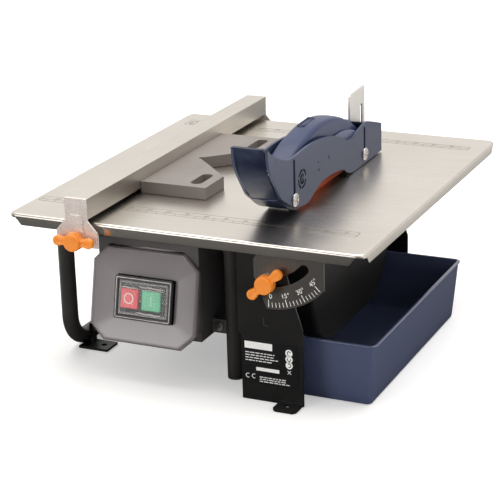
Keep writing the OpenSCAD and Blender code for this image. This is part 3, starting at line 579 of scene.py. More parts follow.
@dataclass
class Shape:
    """Surfaces gathered as whole arrays in millimetres, before they become one mesh."""

    points: list[Array] = field(default_factory=list)
    faces: list[list[int]] = field(default_factory=list)
    count: int = 0

    def add(self, points: Array, faces: Array | list[list[int]]) -> "Shape":
        """Adds points (n, 3) and faces whose numbers start at zero.

        Args:
            points: Places in the frame.
            faces: An array of quads, or lists of any length.

        Returns:
            This shape.
        """
        moved = (
            (faces + self.count).tolist()
            if isinstance(faces, np.ndarray)
            else [[i + self.count for i in face] for face in faces]
        )
        self.points.append(points)
        self.faces.extend(moved)
        self.count += len(points)
        return self

    def grid(self, points: Array, wrap_u: bool = False, wrap_v: bool = True) -> "Shape":
        """Adds quads between neighbours of a grid of points (u, v, 3).

        Args:
            points: The surface's points.
            wrap_u: Whether the last row joins the first.
            wrap_v: Whether the last column joins the first.

        Returns:
            This shape.
        """
        nu, nv = points.shape[:2]
        i, j = np.meshgrid(
            np.arange(nu if wrap_u else nu - 1), np.arange(nv if wrap_v else nv - 1), indexing="ij"
        )
        i2, j2 = (i + 1) % nu, (j + 1) % nv
        quads = np.stack([i * nv + j, i2 * nv + j, i2 * nv + j2, i * nv + j2], axis=-1)
        return self.add(points.reshape(-1, 3), quads.reshape(-1, 4))

    def cap(self, ring: Array) -> "Shape":
        """Closes a flat ring of points (n, 3) with one face."""
        return self.add(ring, [list(range(len(ring)))])

    def closed(self, points: Array) -> "Shape":
        """Adds a grid of rings and closes its first and last ring."""
        return self.grid(points).cap(points[0]).cap(points[-1])

    def bars(
        self, place: Place, centres: Array, halves: Array, turns: Array, depth: Pair
    ) -> "Shape":
        """Adds flat turned boxes: centre + R(turn) (+-half), between two depths.

        Args:
            place: The plane that they lie in.
            centres: Middle of each box (n, 2).
            halves: Half width and half height of each box (n, 2).
            turns: Turn of each box in radians (n,).
            depth: Lower and upper height above the plane.

        Returns:
            This shape.
        """
        signs = np.array([[-1, -1], [1, -1], [1, 1], [-1, 1]])
        corner = signs[None] * halves[:, None]
        c, s = np.cos(turns)[:, None], np.sin(turns)[:, None]
        x = centres[:, None, 0] + c * corner[..., 0] - s * corner[..., 1]
        y = centres[:, None, 1] + s * corner[..., 0] + c * corner[..., 1]
        layers = [np.stack([x, y, np.full_like(x, z)], axis=-1) for z in depth]
        points = np.concatenate(layers, axis=1)
        box = np.array(
            [[3, 2, 1, 0], [4, 5, 6, 7], [0, 1, 5, 4], [1, 2, 6, 5], [2, 3, 7, 6], [3, 0, 4, 7]]
        )
        faces = (box[None] + 8 * np.arange(len(centres))[:, None, None]).reshape(-1, 4)
        return self.add(place.world(points.reshape(-1, 3)), faces)

    def text(
        self, words: str, place: Place, centre: Pair, height: float, turn: float, depth: Pair
    ) -> "Shape":
        """Adds raised figures from Blender's own font, centred on a point of the plane.

        Args:
            words: The figures.
            place: The plane that they lie in.
            centre: Their middle in the plane.
            height: Font size.
            turn: Turn in radians.
            depth: Lower and upper height above the plane.

        Returns:
            This shape.
        """
        curve = bpy.data.curves.new("figures", "FONT")
        curve.body, curve.size, curve.extrude = words, 1.0, 0.5
        curve.align_x, curve.align_y, curve.resolution_u = "CENTER", "CENTER", 4
        holder = bpy.data.objects.new("figures", curve)
        bpy.context.scene.collection.objects.link(holder)
        mesh = bpy.data.meshes.new_from_object(holder)
        flat = np.zeros(len(mesh.vertices) * 3)
        mesh.vertices.foreach_get("co", flat)
        local = flat.reshape(-1, 3)
        c, s = math.cos(turn), math.sin(turn)
        x = centre[0] + height * (c * local[:, 0] - s * local[:, 1])
        y = centre[1] + height * (s * local[:, 0] + c * local[:, 1])
        z = depth[0] + (local[:, 2] + 0.5) * (depth[1] - depth[0])
        faces = [list(p.vertices) for p in mesh.polygons]
        bpy.data.objects.remove(holder)
        bpy.data.curves.remove(curve)
        bpy.data.meshes.remove(mesh)
        return self.add(place.world(np.stack([x, y, z], axis=-1)), faces)

    def mesh(self, name: str) -> bpy.types.Mesh:
        """Makes the mesh in metres, with doubles merged and faces turned outwards.

        Args:
            name: The mesh's name.

        Returns:
            The mesh.
        """
        mesh = bpy.data.meshes.new(name)
        mesh.from_pydata(np.concatenate(self.points) * MM, [], self.faces)
        work = bmesh.new()
        work.from_mesh(mesh)
        bmesh.ops.remove_doubles(work, verts=work.verts, dist=0.004 * MM)
        bmesh.ops.dissolve_degenerate(work, edges=work.edges, dist=0.002 * MM)
        bmesh.ops.recalc_face_normals(work, faces=work.faces)
        work.to_mesh(mesh)
        work.free()
        return mesh


@dataclass(frozen=True)
class Piece:
    """What a piece is called, what it rides on, its finish and the CAD nodes it stands for."""

    name: str
    body: str
    finish: Finish
    stands_for: tuple[str, ...] = ()
    crease: float = 35.0

    def place(self, mesh: bpy.types.Mesh) -> bpy.types.Object:
        """Puts a mesh into the scene as this piece, smooth but for its sharp edges.

        Args:
            mesh: The mesh in metres, in the frame.

        Returns:
            The object, riding on its body.
        """
        mesh.polygons.foreach_set("use_smooth", np.ones(len(mesh.polygons), bool))
        mesh.set_sharp_from_angle(angle=math.radians(self.crease))
        mesh.materials.clear()
        mesh.materials.append(self.finish.material())
        piece = bpy.data.objects.new(self.name, mesh)
        bpy.context.scene.collection.objects.link(piece)
        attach(piece, self.body)
        if self.stands_for:
            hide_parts(*self.stands_for)
        log.info("%s on %s: %d faces", self.name, self.body, len(mesh.polygons))
        return piece

    def surface(self, shape: Shape, wall: float = 0.0) -> bpy.types.Object:
        """Makes the piece from gathered surfaces.

        Args:
            shape: The surfaces in millimetres.
            wall: Thickness that is added inwards, or 0 for a closed shape.

        Returns:
            The object.
        """
        piece = self.place(shape.mesh(self.name))
        if wall:
            solid = piece.modifiers.new("wall", "SOLIDIFY")
            solid.thickness, solid.offset = wall * MM, -1.0
            solid.use_even_offset = True
        return piece

    def softened(self, radius: float, segments: int = 2) -> bpy.types.Object:
        """Makes the piece from a merged copy of its CAD node, with rounded edges.

        Args:
            radius: Width of the rounded edges in millimetres.
            segments: Faces across each rounded edge.

        Returns:
            The object.
        """
        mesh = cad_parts[self.stands_for[0]].data.copy()
        mesh.name = self.name
        work = bmesh.new()
        work.from_mesh(mesh)
        bmesh.ops.remove_doubles(work, verts=work.verts, dist=0.002 * MM)
        bmesh.ops.dissolve_limit(
            work, angle_limit=math.radians(0.4), verts=work.verts, edges=work.edges
        )
        work.to_mesh(mesh)
        work.free()
        kept = mesh.attributes.get("custom_normal")
        if kept is not None:
            mesh.attributes.remove(kept)
        piece = self.place(mesh)
        bevel = piece.modifiers.new("soft_edges", "BEVEL")
        bevel.width, bevel.segments = radius * MM, segments
        bevel.limit_method, bevel.angle_limit = "ANGLE", math.radians(self.crease)
        bevel.harden_normals, bevel.use_clamp_overlap = True, True
        return piece


def dress(finish: Finish, *nodes: str) -> None:
    """Gives CAD nodes that keep their own shape a finish.

    Args:
        finish: The finish.
        nodes: Names of the nodes.
    """
    for name in nodes:
        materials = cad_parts[name].data.materials
        materials.clear()
        materials.append(finish.material())
        log.info("%s keeps its CAD shape in %s", name, finish.name)


def turned(profile: Array, sides: int = 48) -> Array:
    """A profile of (radius, height) turned about the outward axis: (r cos t, r sin t, h)."""
    t = np.linspace(0, 2 * np.pi, sides, endpoint=False)[None, :]
    r, h = profile[:, 0, None], profile[:, 1, None]
    return np.stack([r * np.cos(t), r * np.sin(t), h + 0 * t], axis=-1)


def loft(rings: Sequence[Array], heights: Sequence[float]) -> Array:
    """Flat rings (n, 2) stacked at their heights, as points (rings, n, 3)."""
    return np.stack([np.column_stack([r, np.full(len(r), h)]) for r, h in zip(rings, heights)])


def tube(path: Array, radius: Array | float, sides: int = 28) -> Array:
    """A circle carried along a path: p + r (n cos a + b sin a).

    n is an oblique reference direction less its part along the path, and b completes the
    frame; the reference is never parallel to any of the path's runs.

    Args:
        path: Points (n, 3).
        radius: One radius, or one for each point.
        sides: Points round the circle.

    Returns:
        Points (n, sides, 3).
    """
    along = unit(np.gradient(path, axis=0))
    reference = unit(np.array([1.0, 0.83, 0.71]))
    n = unit(reference - (along @ reference)[:, None] * along)
    b = np.cross(along, n)
    a = np.linspace(0, 2 * np.pi, sides, endpoint=False)
    r = np.broadcast_to(radius, len(path))[:, None, None]
    circle = n[:, None] * np.cos(a)[None, :, None] + b[:, None] * np.sin(a)[None, :, None]
    return path[:, None] + r * circle


def block(low: Array, high: Array, soft: float = 0.6) -> Array:
    """A box with rounded edges: round rectangles whose inset falls along a quarter circle."""
    outline = RoundRect(tuple((low + high)[:2] / 2), tuple((high - low)[:2] / 2), soft + 0.3)
    t = np.radians([90, 60, 30, 0])
    inset, rise = soft * (1 - np.cos(t)), soft * (1 - np.sin(t))
    insets = np.concatenate([inset, inset[::-1]])
    heights = np.concatenate([low[2] + rise, high[2] - rise[::-1]])
    return loft([outline.ring(d, 3) for d in insets], heights)


def ridge(outline: RoundRect, width: float, height: float, base: float) -> Array:
    """A low rounded ridge on an outline: four insets with heights 0, h, h, 0 and a flat foot."""
    insets = width * np.array([-0.5, -0.22, 0.22, 0.5])
    return loft([outline.ring(d) for d in insets], base + height * np.array([0, 1, 1, 0]))


def arc_band(centre: Pair, radius: float, width: float, start: float, stop: float) -> tuple:
    """Centres, halves and turns of the short bars that make an arc of a ring.

    Args:
        centre: Middle of the ring.
        radius: Radius of the band's middle line.
        width: Width of the band.
        start: First angle in degrees.
        stop: Last angle in degrees.

    Returns:
        Arrays for Shape.bars: centre + r (cos a, sin a), and a turn of a + 90 degrees.
    """
    count = max(3, int(abs(stop - start) / 9))
    edges = np.radians(np.linspace(start, stop, count + 1))
    a = (edges[1:] + edges[:-1]) / 2
    half = radius * math.tan((edges[1] - edges[0]) / 2) * 1.02
    centres = np.array(centre) + radius * np.stack([np.cos(a), np.sin(a)], axis=-1)
    return centres, np.tile([abs(half), width / 2], (count, 1)), a + np.pi / 2


# ---------- repeated parts ----------


class Drive(Enum):
    """How a screw is turned."""

    CROSS = "cross"
    PLAIN = "plain"


@dataclass(frozen=True)
class PanScrew:
    """A pan-head screw, its shank below the seat and its head above it."""

    head_radius: float
    head_height: float
    shank_radius: float
    shank_length: float
    drive: Drive = Drive.CROSS
    sides: int = 48
    recess: float = 1.3

    def points(self, place: Place) -> Array:
        """The screw's surface: a turned profile whose crown is pressed in by a cross.

        The crown is h cos(90 r / R) raised to a low power, and the cross takes off its depth
        where a point lies within the arms' half width and length.

        Args:
            place: The seat, with its outward axis along the screw.

        Returns:
            Rings of points (n, sides, 3).
        """
        r = self.head_radius
        foot = [[0.02, -self.shank_length], [self.shank_radius, -self.shank_length]]
        seat = [[self.shank_radius, 0.0], [r - 0.2, 0.0], [r, 0.25], [r, self.head_height * 0.35]]
        share = np.linspace(0.97, 0.01, 12)
        rise = self.head_height * (0.35 + 0.65 * np.sqrt(np.cos(share * np.pi / 2)))
        profile = np.concatenate([foot, seat, np.column_stack([share * r, rise])])
        rings = turned(profile, self.sides)
        if self.drive is Drive.CROSS:
            crown = rings[6:]
            narrow, wide = np.abs(crown[..., 0]), np.abs(crown[..., 1])
            arm, reach = 0.11 * r, 0.55 * r
            across = np.minimum(
                np.maximum(narrow / arm, wide / reach), np.maximum(wide / arm, narrow / reach)
            )
            crown[..., 2] -= self.recess * np.clip((1.25 - across) / 0.35, 0, 1)
        return place.world(rings)


@dataclass(frozen=True)
class WingKnob:
    """A wing knob on a bolt: a round hub with two wings that end in lobes."""

    body: str
    node: str
    place: Place
    turn: float
    hub_radius: float = 8.8
    wing_reach: float = 16.0
    wing_half: float = 3.4
    lobe_radius: float = 4.9
    height: float = 11.0
    wing_foot: float = 2.6
    wing_top: float = 8.6
    edge: float = 1.6
    fillet: float = 2.6

    def distance(self, p: Array) -> Array:
        """Smooth union of the hub, the wing bar and the two lobes."""
        hub = np.linalg.norm(p, axis=-1) - self.hub_radius
        x, y = np.abs(p[..., 0]), p[..., 1]
        bar = np.hypot(np.maximum(x - self.wing_reach, 0), y) - self.wing_half
        lobe = np.hypot(x - self.wing_reach, y) - self.lobe_radius
        lower = self.soft_least(self.soft_least(hub, bar), lobe)
        return lower

    def soft_least(self, a: Array, b: Array) -> Array:
        """The smaller of two distances, rounded where they cross: min - k h^2 / 4."""
        h = np.maximum(self.fillet - np.abs(a - b), 0) / self.fillet
        return np.minimum(a, b) - h * h * self.fillet / 4

    def outline(self, count: int = 120) -> Array:
        """The last crossing of each ray from the hub's middle, close together at the wings.

        Args:
            count: Number of rays.

        Returns:
            Points (count, 2).
        """
        even = np.linspace(0, 2 * np.pi, count, endpoint=False)
        angle = even - 0.44 * np.sin(2 * even)
        rays_out = np.stack([np.cos(angle), np.sin(angle)], axis=-1)
        t = np.linspace(0.0, self.wing_reach + self.lobe_radius + 0.6, 900)
        inside = self.distance(rays_out[:, None] * t[None, :, None]) < 0
        last = t[len(t) - 1 - np.argmax(inside[:, ::-1], axis=1)]
        return rays_out * last[:, None]

    def build(self) -> None:
        """Makes the knob: the wings as inset outlines over a quarter-circle edge, and the hub.

        The hub is a turned profile that stands above the wings.
        """
        ring = self.outline()
        along = unit(np.roll(ring, -1, axis=0) - np.roll(ring, 1, axis=0))
        inward = np.stack([-along[:, 1], along[:, 0]], axis=-1)
        t = np.radians(np.linspace(0, 90, 6))
        edge, top = self.edge, self.wing_top
        inset = np.concatenate([[1.4, 0.5, 0.0], edge * (1 - np.cos(t)), [2.4, 3.0]])
        z = np.array([self.wing_foot, self.wing_foot + 0.25, self.wing_foot + 1.0])
        z = np.concatenate([z, top - edge + edge * np.sin(t), [top - 0.12, top - 0.4]])
        wings = loft([ring + d * inward for d in inset], z)
        r, h = self.hub_radius, self.height
        rim = np.column_stack([r - 0.4 - edge * (1 - np.cos(t)), h - edge + edge * np.sin(t)])
        foot = [[0.02, 0.0], [r - 0.9, 0.0], [r - 0.2, 0.5], [r, 1.2], [r, top - 1.0]]
        hub = turned(np.concatenate([foot, rim, [[4.0, h - 0.25], [0.02, h - 0.45]]]))
        c, s = math.cos(self.turn), math.sin(self.turn)
        spin = np.array([[c, s, 0], [-s, c, 0], [0, 0, 1]])
        shape = Shape().closed(self.place.world(wings @ spin)).closed(self.place.world(hub @ spin))
        Piece(self.node.replace("_knob", "_wing_knob"), self.body, ORANGE, (self.node,)).surface(shape)


# ---------- studio ----------


@dataclass(frozen=True)
class Studio:
    """A pale floor, soft light from above and from the sides, and the camera."""

    azimuth: float = 25.12
    elevation: float = 19.29
    roll: float = -1.68
    lens: float = 121.94
    target: Triple = (0.0327, -0.1106, 0.1163)
    distance: float = 1.6032
    sensor: float = 36.0
    far_clip: float = 50.0
    floor_radius: float = 9000.0
    floor_hole: float = 0.5
    floor_levels: Pair = (-0.3, -6.0)
    # glossy_shade: the dark grey that mirror-like surfaces see in the floor, a painted shade in their
    # reflections; the two pairs below give where it fades along y and along |x|.
    glossy_shade: Color = (0.02, 0.02, 0.02)
    glossy_shade_front: Pair = (-0.3, -0.1)
    glossy_shade_side: Pair = (0.24, 0.42)
    lift: float = 0.35

    def camera(self) -> None:
        """Makes the camera: it looks at the target from the azimuth and elevation."""
        a, e, r = (math.radians(v) for v in (self.azimuth, self.elevation, self.roll))
        back = np.array([math.sin(a) * math.cos(e), -math.cos(a) * math.cos(e), math.sin(e)])
        side = np.array([math.cos(a), math.sin(a), 0.0])
        up = np.cross(back, side)
        right, top = side * math.cos(r) + up * math.sin(r), up * math.cos(r) - side * math.sin(r)
        lens = bpy.data.cameras.new("camera")
        lens.lens, lens.sensor_width, lens.clip_end = self.lens, self.sensor, self.far_clip
        holder = bpy.data.objects.new("camera", lens)
        bpy.context.scene.collection.objects.link(holder)
        turn = Matrix(np.stack([right, top, back], axis=-1).tolist()).to_4x4()
        turn.translation = np.array(self.target) + back * self.distance
        holder.matrix_world = turn
        bpy.context.scene.camera = holder

    def floor(self) -> None:
        """Makes the pale floor as a wide thin disc below the object.

        Mirror-like surfaces see its front part and a band through the object's middle as dark grey, a
        painted shade in their reflections; everything else sees it white.
        """
        hole, edge = self.floor_hole, self.floor_radius
        top, under = self.floor_levels
        ring = turned(np.array([[hole, top], [edge, top], [edge, under], [hole, under]]), 64)
        mesh = Shape().closed(ring).mesh("floor")
        g = Graph("pale_floor")
        coords = g.node("TexCoord").outputs["Object"]
        y = g.node("SeparateXYZ", None, Vector=coords).outputs["Y"]
        path = g.node("LightPath")
        x = g.node("SeparateXYZ", None, Vector=coords).outputs["X"]
        # Painted shade in reflections: for glossy rays the floor turns dark grey in front of the object and
        # in a band through its middle.
        before = g.ramp(y, *self.glossy_shade_front, 1.0, 0.0)
        beside = g.ramp(g.math("ABSOLUTE", x), *self.glossy_shade_side, 1.0, 0.0)
        dark = g.math("MAXIMUM", before, beside)
        front = g.math("MULTIPLY", dark, path.outputs["Is Glossy Ray"])
        pale = g.blend(g.noise(coords, 3.0), tone("F4F3F1"), tone("F7F6F5"))
        color = g.blend(front, pale, self.glossy_shade)
        shader = g.node("BsdfPrincipled", None, Base_Color=color, Roughness=0.65)
        glow = g.node("Emission", None, Color=(1.0, 1.0, 1.0, 1.0))
        g.put(glow.inputs["Strength"], g.math("MULTIPLY", path.outputs["Is Camera Ray"], self.lift))
        both = g.node("AddShader")
        g.put(both.inputs[0], shader.outputs[0])
        g.put(both.inputs[1], glow.outputs[0])
        g.node("OutputMaterial", None, Surface=both.outputs[0])
        mesh.materials.append(g.material)
        holder = bpy.data.objects.new("floor", mesh)
        bpy.context.scene.collection.objects.link(holder)

    def light(self, name: str, spot: Triple, size: Pair, power: float, shade: Color) -> None:
        """Adds a soft rectangular light that faces the target.

        Args:
            name: The light's name.
            spot: Where it hangs.
            size: Its width and height.
            power: Watts.
            shade: Its colour.
        """
        lamp = bpy.data.lights.new(name, "AREA")
        lamp.shape, lamp.size, lamp.size_y = "RECTANGLE", *size
        lamp.energy, lamp.color = power, shade
        holder = bpy.data.objects.new(name, lamp)
        bpy.context.scene.collection.objects.link(holder)
        back = unit(np.array(spot) - np.array(self.target))
        side = unit(np.cross(np.array([0.0, 1.0, 0.02]), back))
        turn = Matrix(np.stack([side, np.cross(back, side), back], axis=-1).tolist()).to_4x4()
        turn.translation = spot
        holder.matrix_world = turn

    def world(self) -> None:
        """Makes the surroundings: white to the eye, and darker low down and in front elsewhere."""
        world = bpy.data.worlds.new("studio")
        bpy.context.scene.world = world
        world.use_nodes = True
        tree = world.node_tree
        tree.nodes.clear()
        new = tree.nodes.new
        coords, split = new("ShaderNodeTexCoord"), new("ShaderNodeSeparateXYZ")
        ramp, front, path = new("ShaderNodeMapRange"), new("ShaderNodeMapRange"), new("ShaderNodeLightPath")
        product = new("ShaderNodeMath")
        product.operation = "MULTIPLY"
        seen, lit, mix = (new(f"ShaderNode{k}") for k in ("Background", "Background", "MixShader"))
        out = new("ShaderNodeOutputWorld")
        limits = ("From Min", "From Max", "To Min", "To Max")
        for key, number in zip(limits, (0.0, 0.35, 0.55, 1.0)):
            ramp.inputs[key].default_value = number
        for key, number in zip(limits, (-0.7, 0.3, 0.22, 1.0)):
            front.inputs[key].default_value = number
        seen.inputs["Color"].default_value = (1.0, 1.0, 1.0, 1.0)
        seen.inputs["Strength"].default_value = 1.6
        lit.inputs["Color"].default_value = (1.0, 0.985, 0.965, 1.0)
        for start, end in (
            (coords.outputs["Generated"], split.inputs[0]),
            (split.outputs["Z"], ramp.inputs["Value"]),
            (split.outputs["Y"], front.inputs["Value"]),
            (ramp.outputs["Result"], product.inputs[0]),
            (front.outputs["Result"], product.inputs[1]),
            (product.outputs[0], lit.inputs["Strength"]),
            (path.outputs["Is Camera Ray"], mix.inputs["Fac"]),
            (lit.outputs[0], mix.inputs[1]),
            (seen.outputs[0], mix.inputs[2]),
            (mix.outputs[0], out.inputs["Surface"]),
        ):
            tree.links.new(start, end)

    def build(self) -> None:
        """Makes the camera, the floor, the surroundings and three lights."""
        bpy.context.scene.view_settings.view_transform = "Standard"
        self.camera()
        self.floor()
        self.world()
        self.light("overhead", (-0.2, 0.3, 2.3), (2.4, 2.0), 40.0, (1.0, 0.99, 0.97))
        self.light("left_front", (-1.0, -2.15, 0.7), (1.3, 0.8), 13.0, (1.0, 0.99, 0.98))
        self.light("right", (2.2, -0.6, 1.1), (1.2, 1.6), 6.0, (0.98, 0.99, 1.0))


# ---------- table ----------


@dataclass
class Table:
    """The folded steel table with its pressed rulers and the two angle scales."""

    sheet: float = 1.5
    bend: float = 2.6
    corner: float = 8.0
    notch: Pair = (8.0, 14.0)
    cup_depth: float = 4.0
    slot_x: Pair = (58.5, 69.0)
    slot_y: Pair = (-92.0, 117.0)
    ruler_front: tuple[float, float, float, float] = (-173.0, 155.0, -150.0, -137.0)
    ruler_rear: tuple[float, float, float, float] = (-160.0, 163.0, 150.0, 161.0)
    tilt_x: float = 87.0
    tilt_z: float = 166.0
    scale_radius: float = 72.0

    def build(self) -> None:
        """Makes the sheet, the rulers, the stamped mark and both angle scales."""
        self.low, self.high = low_high("table_top")
        self.sheet_piece()
        self.rulers()
        for side, place in (("front", FRONT), ("rear", BACK)):
            node = f"protractor_{side}"
            Piece(f"angle_plate_{side}", "table", SCALE_STEEL, (node,)).softened(0.3)
            self.angle_marks(side, place, node)

    def flange_foot(self, ring: Array) -> Array:
        """Height of the folded edge's foot at points of the outline.

        The edge is full height away from the corners, slopes up between the two notch
        distances, and turns into the shallow drawn cup round each corner.

        Args:
            ring: Points (n, 2) of the outline.

        Returns:
            Heights (n,).
        """
        away = (self.high[:2] - np.abs(ring)).max(axis=-1)
        top = self.high[2]
        share = (away - self.notch[0]) / (self.notch[1] - self.notch[0])
        slope = self.low[2] + (1 - np.clip(share, 0, 1)) * (top - self.bend - 0.8 - self.low[2])
        return np.where(away < self.notch[0], top - self.cup_depth, slope)

    def sheet_piece(self) -> None:
        """Makes the sheet as one closed surface: rays from the slot times a folded profile.

        Along each ray the profile runs from the slot's lower edge up and over the table, down
        the outside of the fold, back up its inside and under the table to the slot.
        """
        half = self.high[:2]
        top, bend, wall = self.high[2], self.bend, self.sheet
        outer = RoundRect((0.0, 0.0), tuple(half), self.corner)
        centre = ((self.slot_x[0] + self.slot_x[1]) / 2, (self.slot_y[0] + self.slot_y[1]) / 2)
        slot_half = ((self.slot_x[1] - self.slot_x[0]) / 2, (self.slot_y[1] - self.slot_y[0]) / 2)
        slot = RoundRect(centre, slot_half, 1.2)
        near = np.concatenate([np.linspace(*self.notch, 6), [self.notch[0] - 0.05], [40.0, 90.0]])
        sx, sy, q = (v.ravel() for v in np.meshgrid([-1, 1], [-1, 1], near))
        edge_x = np.column_stack([sx * (half[0] - q), sy * half[1]])
        edge_y = np.column_stack([sx * half[0], sy * (half[1] - q)])
        origin = np.array(centre)
        directions = rays(origin, outer.ring(0, 8), edge_x, edge_y, slot.ring(0, 4))
        t = np.radians(np.linspace(90, 0, 11))
        foot = self.flange_foot(cast(origin, directions, outer))
        one = np.ones(len(directions))
        profile = [(outer, bend + 1.0, top * one)]
        profile += [(outer, bend * (1 - math.cos(a)), (top - bend + bend * math.sin(a)) * one) for a in t]
        profile += [(outer, 0.0, foot + 0.4), (outer, 0.4, foot), (outer, wall - 0.4, foot)]
        profile += [(outer, wall, foot + 0.4)]
        inner = bend - wall
        profile += [
            (outer, bend - inner * math.cos(a), (top - bend + inner * math.sin(a)) * one)
            for a in t[::-1]
        ]
        profile += [(outer, bend + 1.0, (top - wall) * one)]
        profile += [(slot, -0.8, (top - wall) * one), (slot, 0.0, (top - wall) * one)]
        profile += [(slot, 0.0, (top - 0.3) * one), (slot, -0.3, top * one), (slot, -0.9, top * one)]
        rows = [
            np.column_stack([cast(origin, directions, shape, inset), z]) for shape, inset, z in profile
        ]
        shape = Shape().grid(np.stack(rows), wrap_u=True)
        piece = Piece("table_sheet", "table", SHEET_STEEL, ("table_top",), crease=40.0)
        sheet = piece.surface(shape).data
        # Faces below the bend take the darker steel: a painted shade on the folded edge.
        sheet.materials.append(SHADED_FOLD_STEEL.material())
        centres = np.zeros(len(sheet.polygons) * 3)
        sheet.polygons.foreach_get("center", centres)
        fold_shade_mask = centres[2::3] < (top - bend) * MM
        sheet.polygons.foreach_set("material_index", fold_shade_mask.astype(np.int32))

    def rulers(self) -> None:
        """Makes the pressed outlines of both rulers, their marks and the small stamp."""
        top = self.high[2]
        lines, marks = Shape(), Shape()
        zero = (self.slot_x[0] + self.slot_x[1]) / 2
        for x0, x1, y0, y1 in (self.ruler_front, self.ruler_rear):
            middle = (y0 + y1) / 2
            frame_line = RoundRect(((x0 + x1) / 2, middle), ((x1 - x0) / 2, (y1 - y0) / 2), 1.2)
            lines.grid(ridge(frame_line, 0.9, 0.14, top - 0.02), wrap_u=True)
            steps = np.arange(-23, 10)
            x = zero + 10.0 * steps
            keep = (x > x0 + 6) & (x < x1 - 6) & (np.abs(x - zero) > 8)
            x, steps = x[keep], steps[keep]
            long = (steps % 5 == 0).astype(float)
            centres = np.column_stack([x, y0 + 2.6 + 0.6 * long])
            halves = np.column_stack([np.full(len(x), 0.22), 1.7 + 0.8 * long])
            marks.bars(TOP, centres, halves, np.zeros(len(x)), (top - 0.02, top + 0.04))
            for place_x, step in zip(x, steps):
                if step % 2 == 0:
                    marks.text(
                        str(abs(int(step)) * 10), TOP, (place_x, y0 + 8.6), 4.4, 0.0,
                        (top - 0.02, top + 0.04),
                    )
            lines.bars(
                TOP, np.array([[(x0 + x1) / 2, y0 + 5.6]]), np.array([[(x1 - x0) / 2 - 1, 0.18]]),
                np.zeros(1), (top - 0.02, top + 0.08),
            )
        for half in ((7.0, 9.5), (3.4, 5.4)):
            stamp = RoundRect((-158.0, 158.5), half, 0.8)
            lines.grid(ridge(stamp, 0.8, 0.14, top - 0.02), wrap_u=True)
        pressed = replace(
            SHEET_STEEL, name="pressed_steel", color=tone("8A837A"), cloud=tone("6F6860"), roughness=0.4
        )
        Piece("ruler_outlines", "table", pressed).surface(lines)
        etched = replace(GREY_PRINT, name="etched_marks", slot="steel_sheet")
        Piece("ruler_marks", "table", etched).surface(marks)

    def angle_marks(self, side: str, place: Place, node: str) -> None:
        """Makes the raised ticks and figures of one angle scale.

        A tick at angle a from straight down lies at tilt centre + r (sin a, -cos a).

        Args:
            side: Front or rear.
            place: The plane that the scale faces.
            node: The CAD node of the plate.
        """
        low, high = low_high(node)
        face = low[1] if side == "front" else high[1]
        sign = place.right[0]
        here = place.at((self.tilt_x, face, self.tilt_z))
        degrees = np.arange(0, 46, 3)
        a = np.radians(degrees)
        long = (degrees % 15 == 0).astype(float)
        length = 4.6 + 2.4 * long
        middle = self.scale_radius - 0.9 - length / 2
        centres = np.column_stack([sign * middle * np.sin(a), -middle * np.cos(a)])
        halves = np.column_stack([0.26 + 0.08 * long, length / 2])
        shape = Shape().bars(here, centres, halves, sign * a, (-0.02, 0.06))
        for figure in (0, 15, 30, 45):
            turn = math.radians(figure + (2.0 if figure == 0 else 0.8))
            reach = self.scale_radius - 11.2
            spot = (sign * reach * math.sin(turn), -reach * math.cos(turn))
            words = f"{figure}°" if figure else "0"
            shape.text(words, here, spot, 6.2, sign * turn, (-0.02, 0.06))
        Piece(f"angle_marks_{side}", "table", WHITE_PRINT).surface(shape)


# ---------- fence ----------


@dataclass
class Fence:
    """The rip fence, its clamps and knobs, and the corner guide that slides along it."""

    def build(self) -> None:
        """Makes the fence's pieces and the corner guide."""
        Piece("fence_channel", "fence", FENCE_STEEL, ("fence_bar",)).softened(1.0, 3)
        Piece("fence_plate_front", "fence", DULL_ZINC, ("fence_end_front",)).softened(0.5)
        Piece("fence_plate_rear", "fence", DULL_ZINC, ("fence_end_rear",)).softened(0.5)
        Piece("spring_clips", "fence", DULL_ZINC, ("fence_clip",)).softened(0.5, 3)
        Piece("clamp_jaws", "fence", BLACK_POWDER, ("fence_clamps",)).softened(0.4)
        dress(BRIGHT_ZINC, "fence_bolts")
        for side, place in (("front", FRONT), ("rear", BACK)):
            node = f"fence_knob_{side}"
            low, high = low_high(node)
            seat = high[1] if side == "front" else low[1]
            middle = (low + high) / 2
            WingKnob(node, node, place.at((middle[0], seat, middle[2])), 0.0).build()
        Piece("corner_guide_block", "guide", GUIDE_GREY, ("corner_guide",)).softened(0.6, 3)


# ---------- side frame ----------


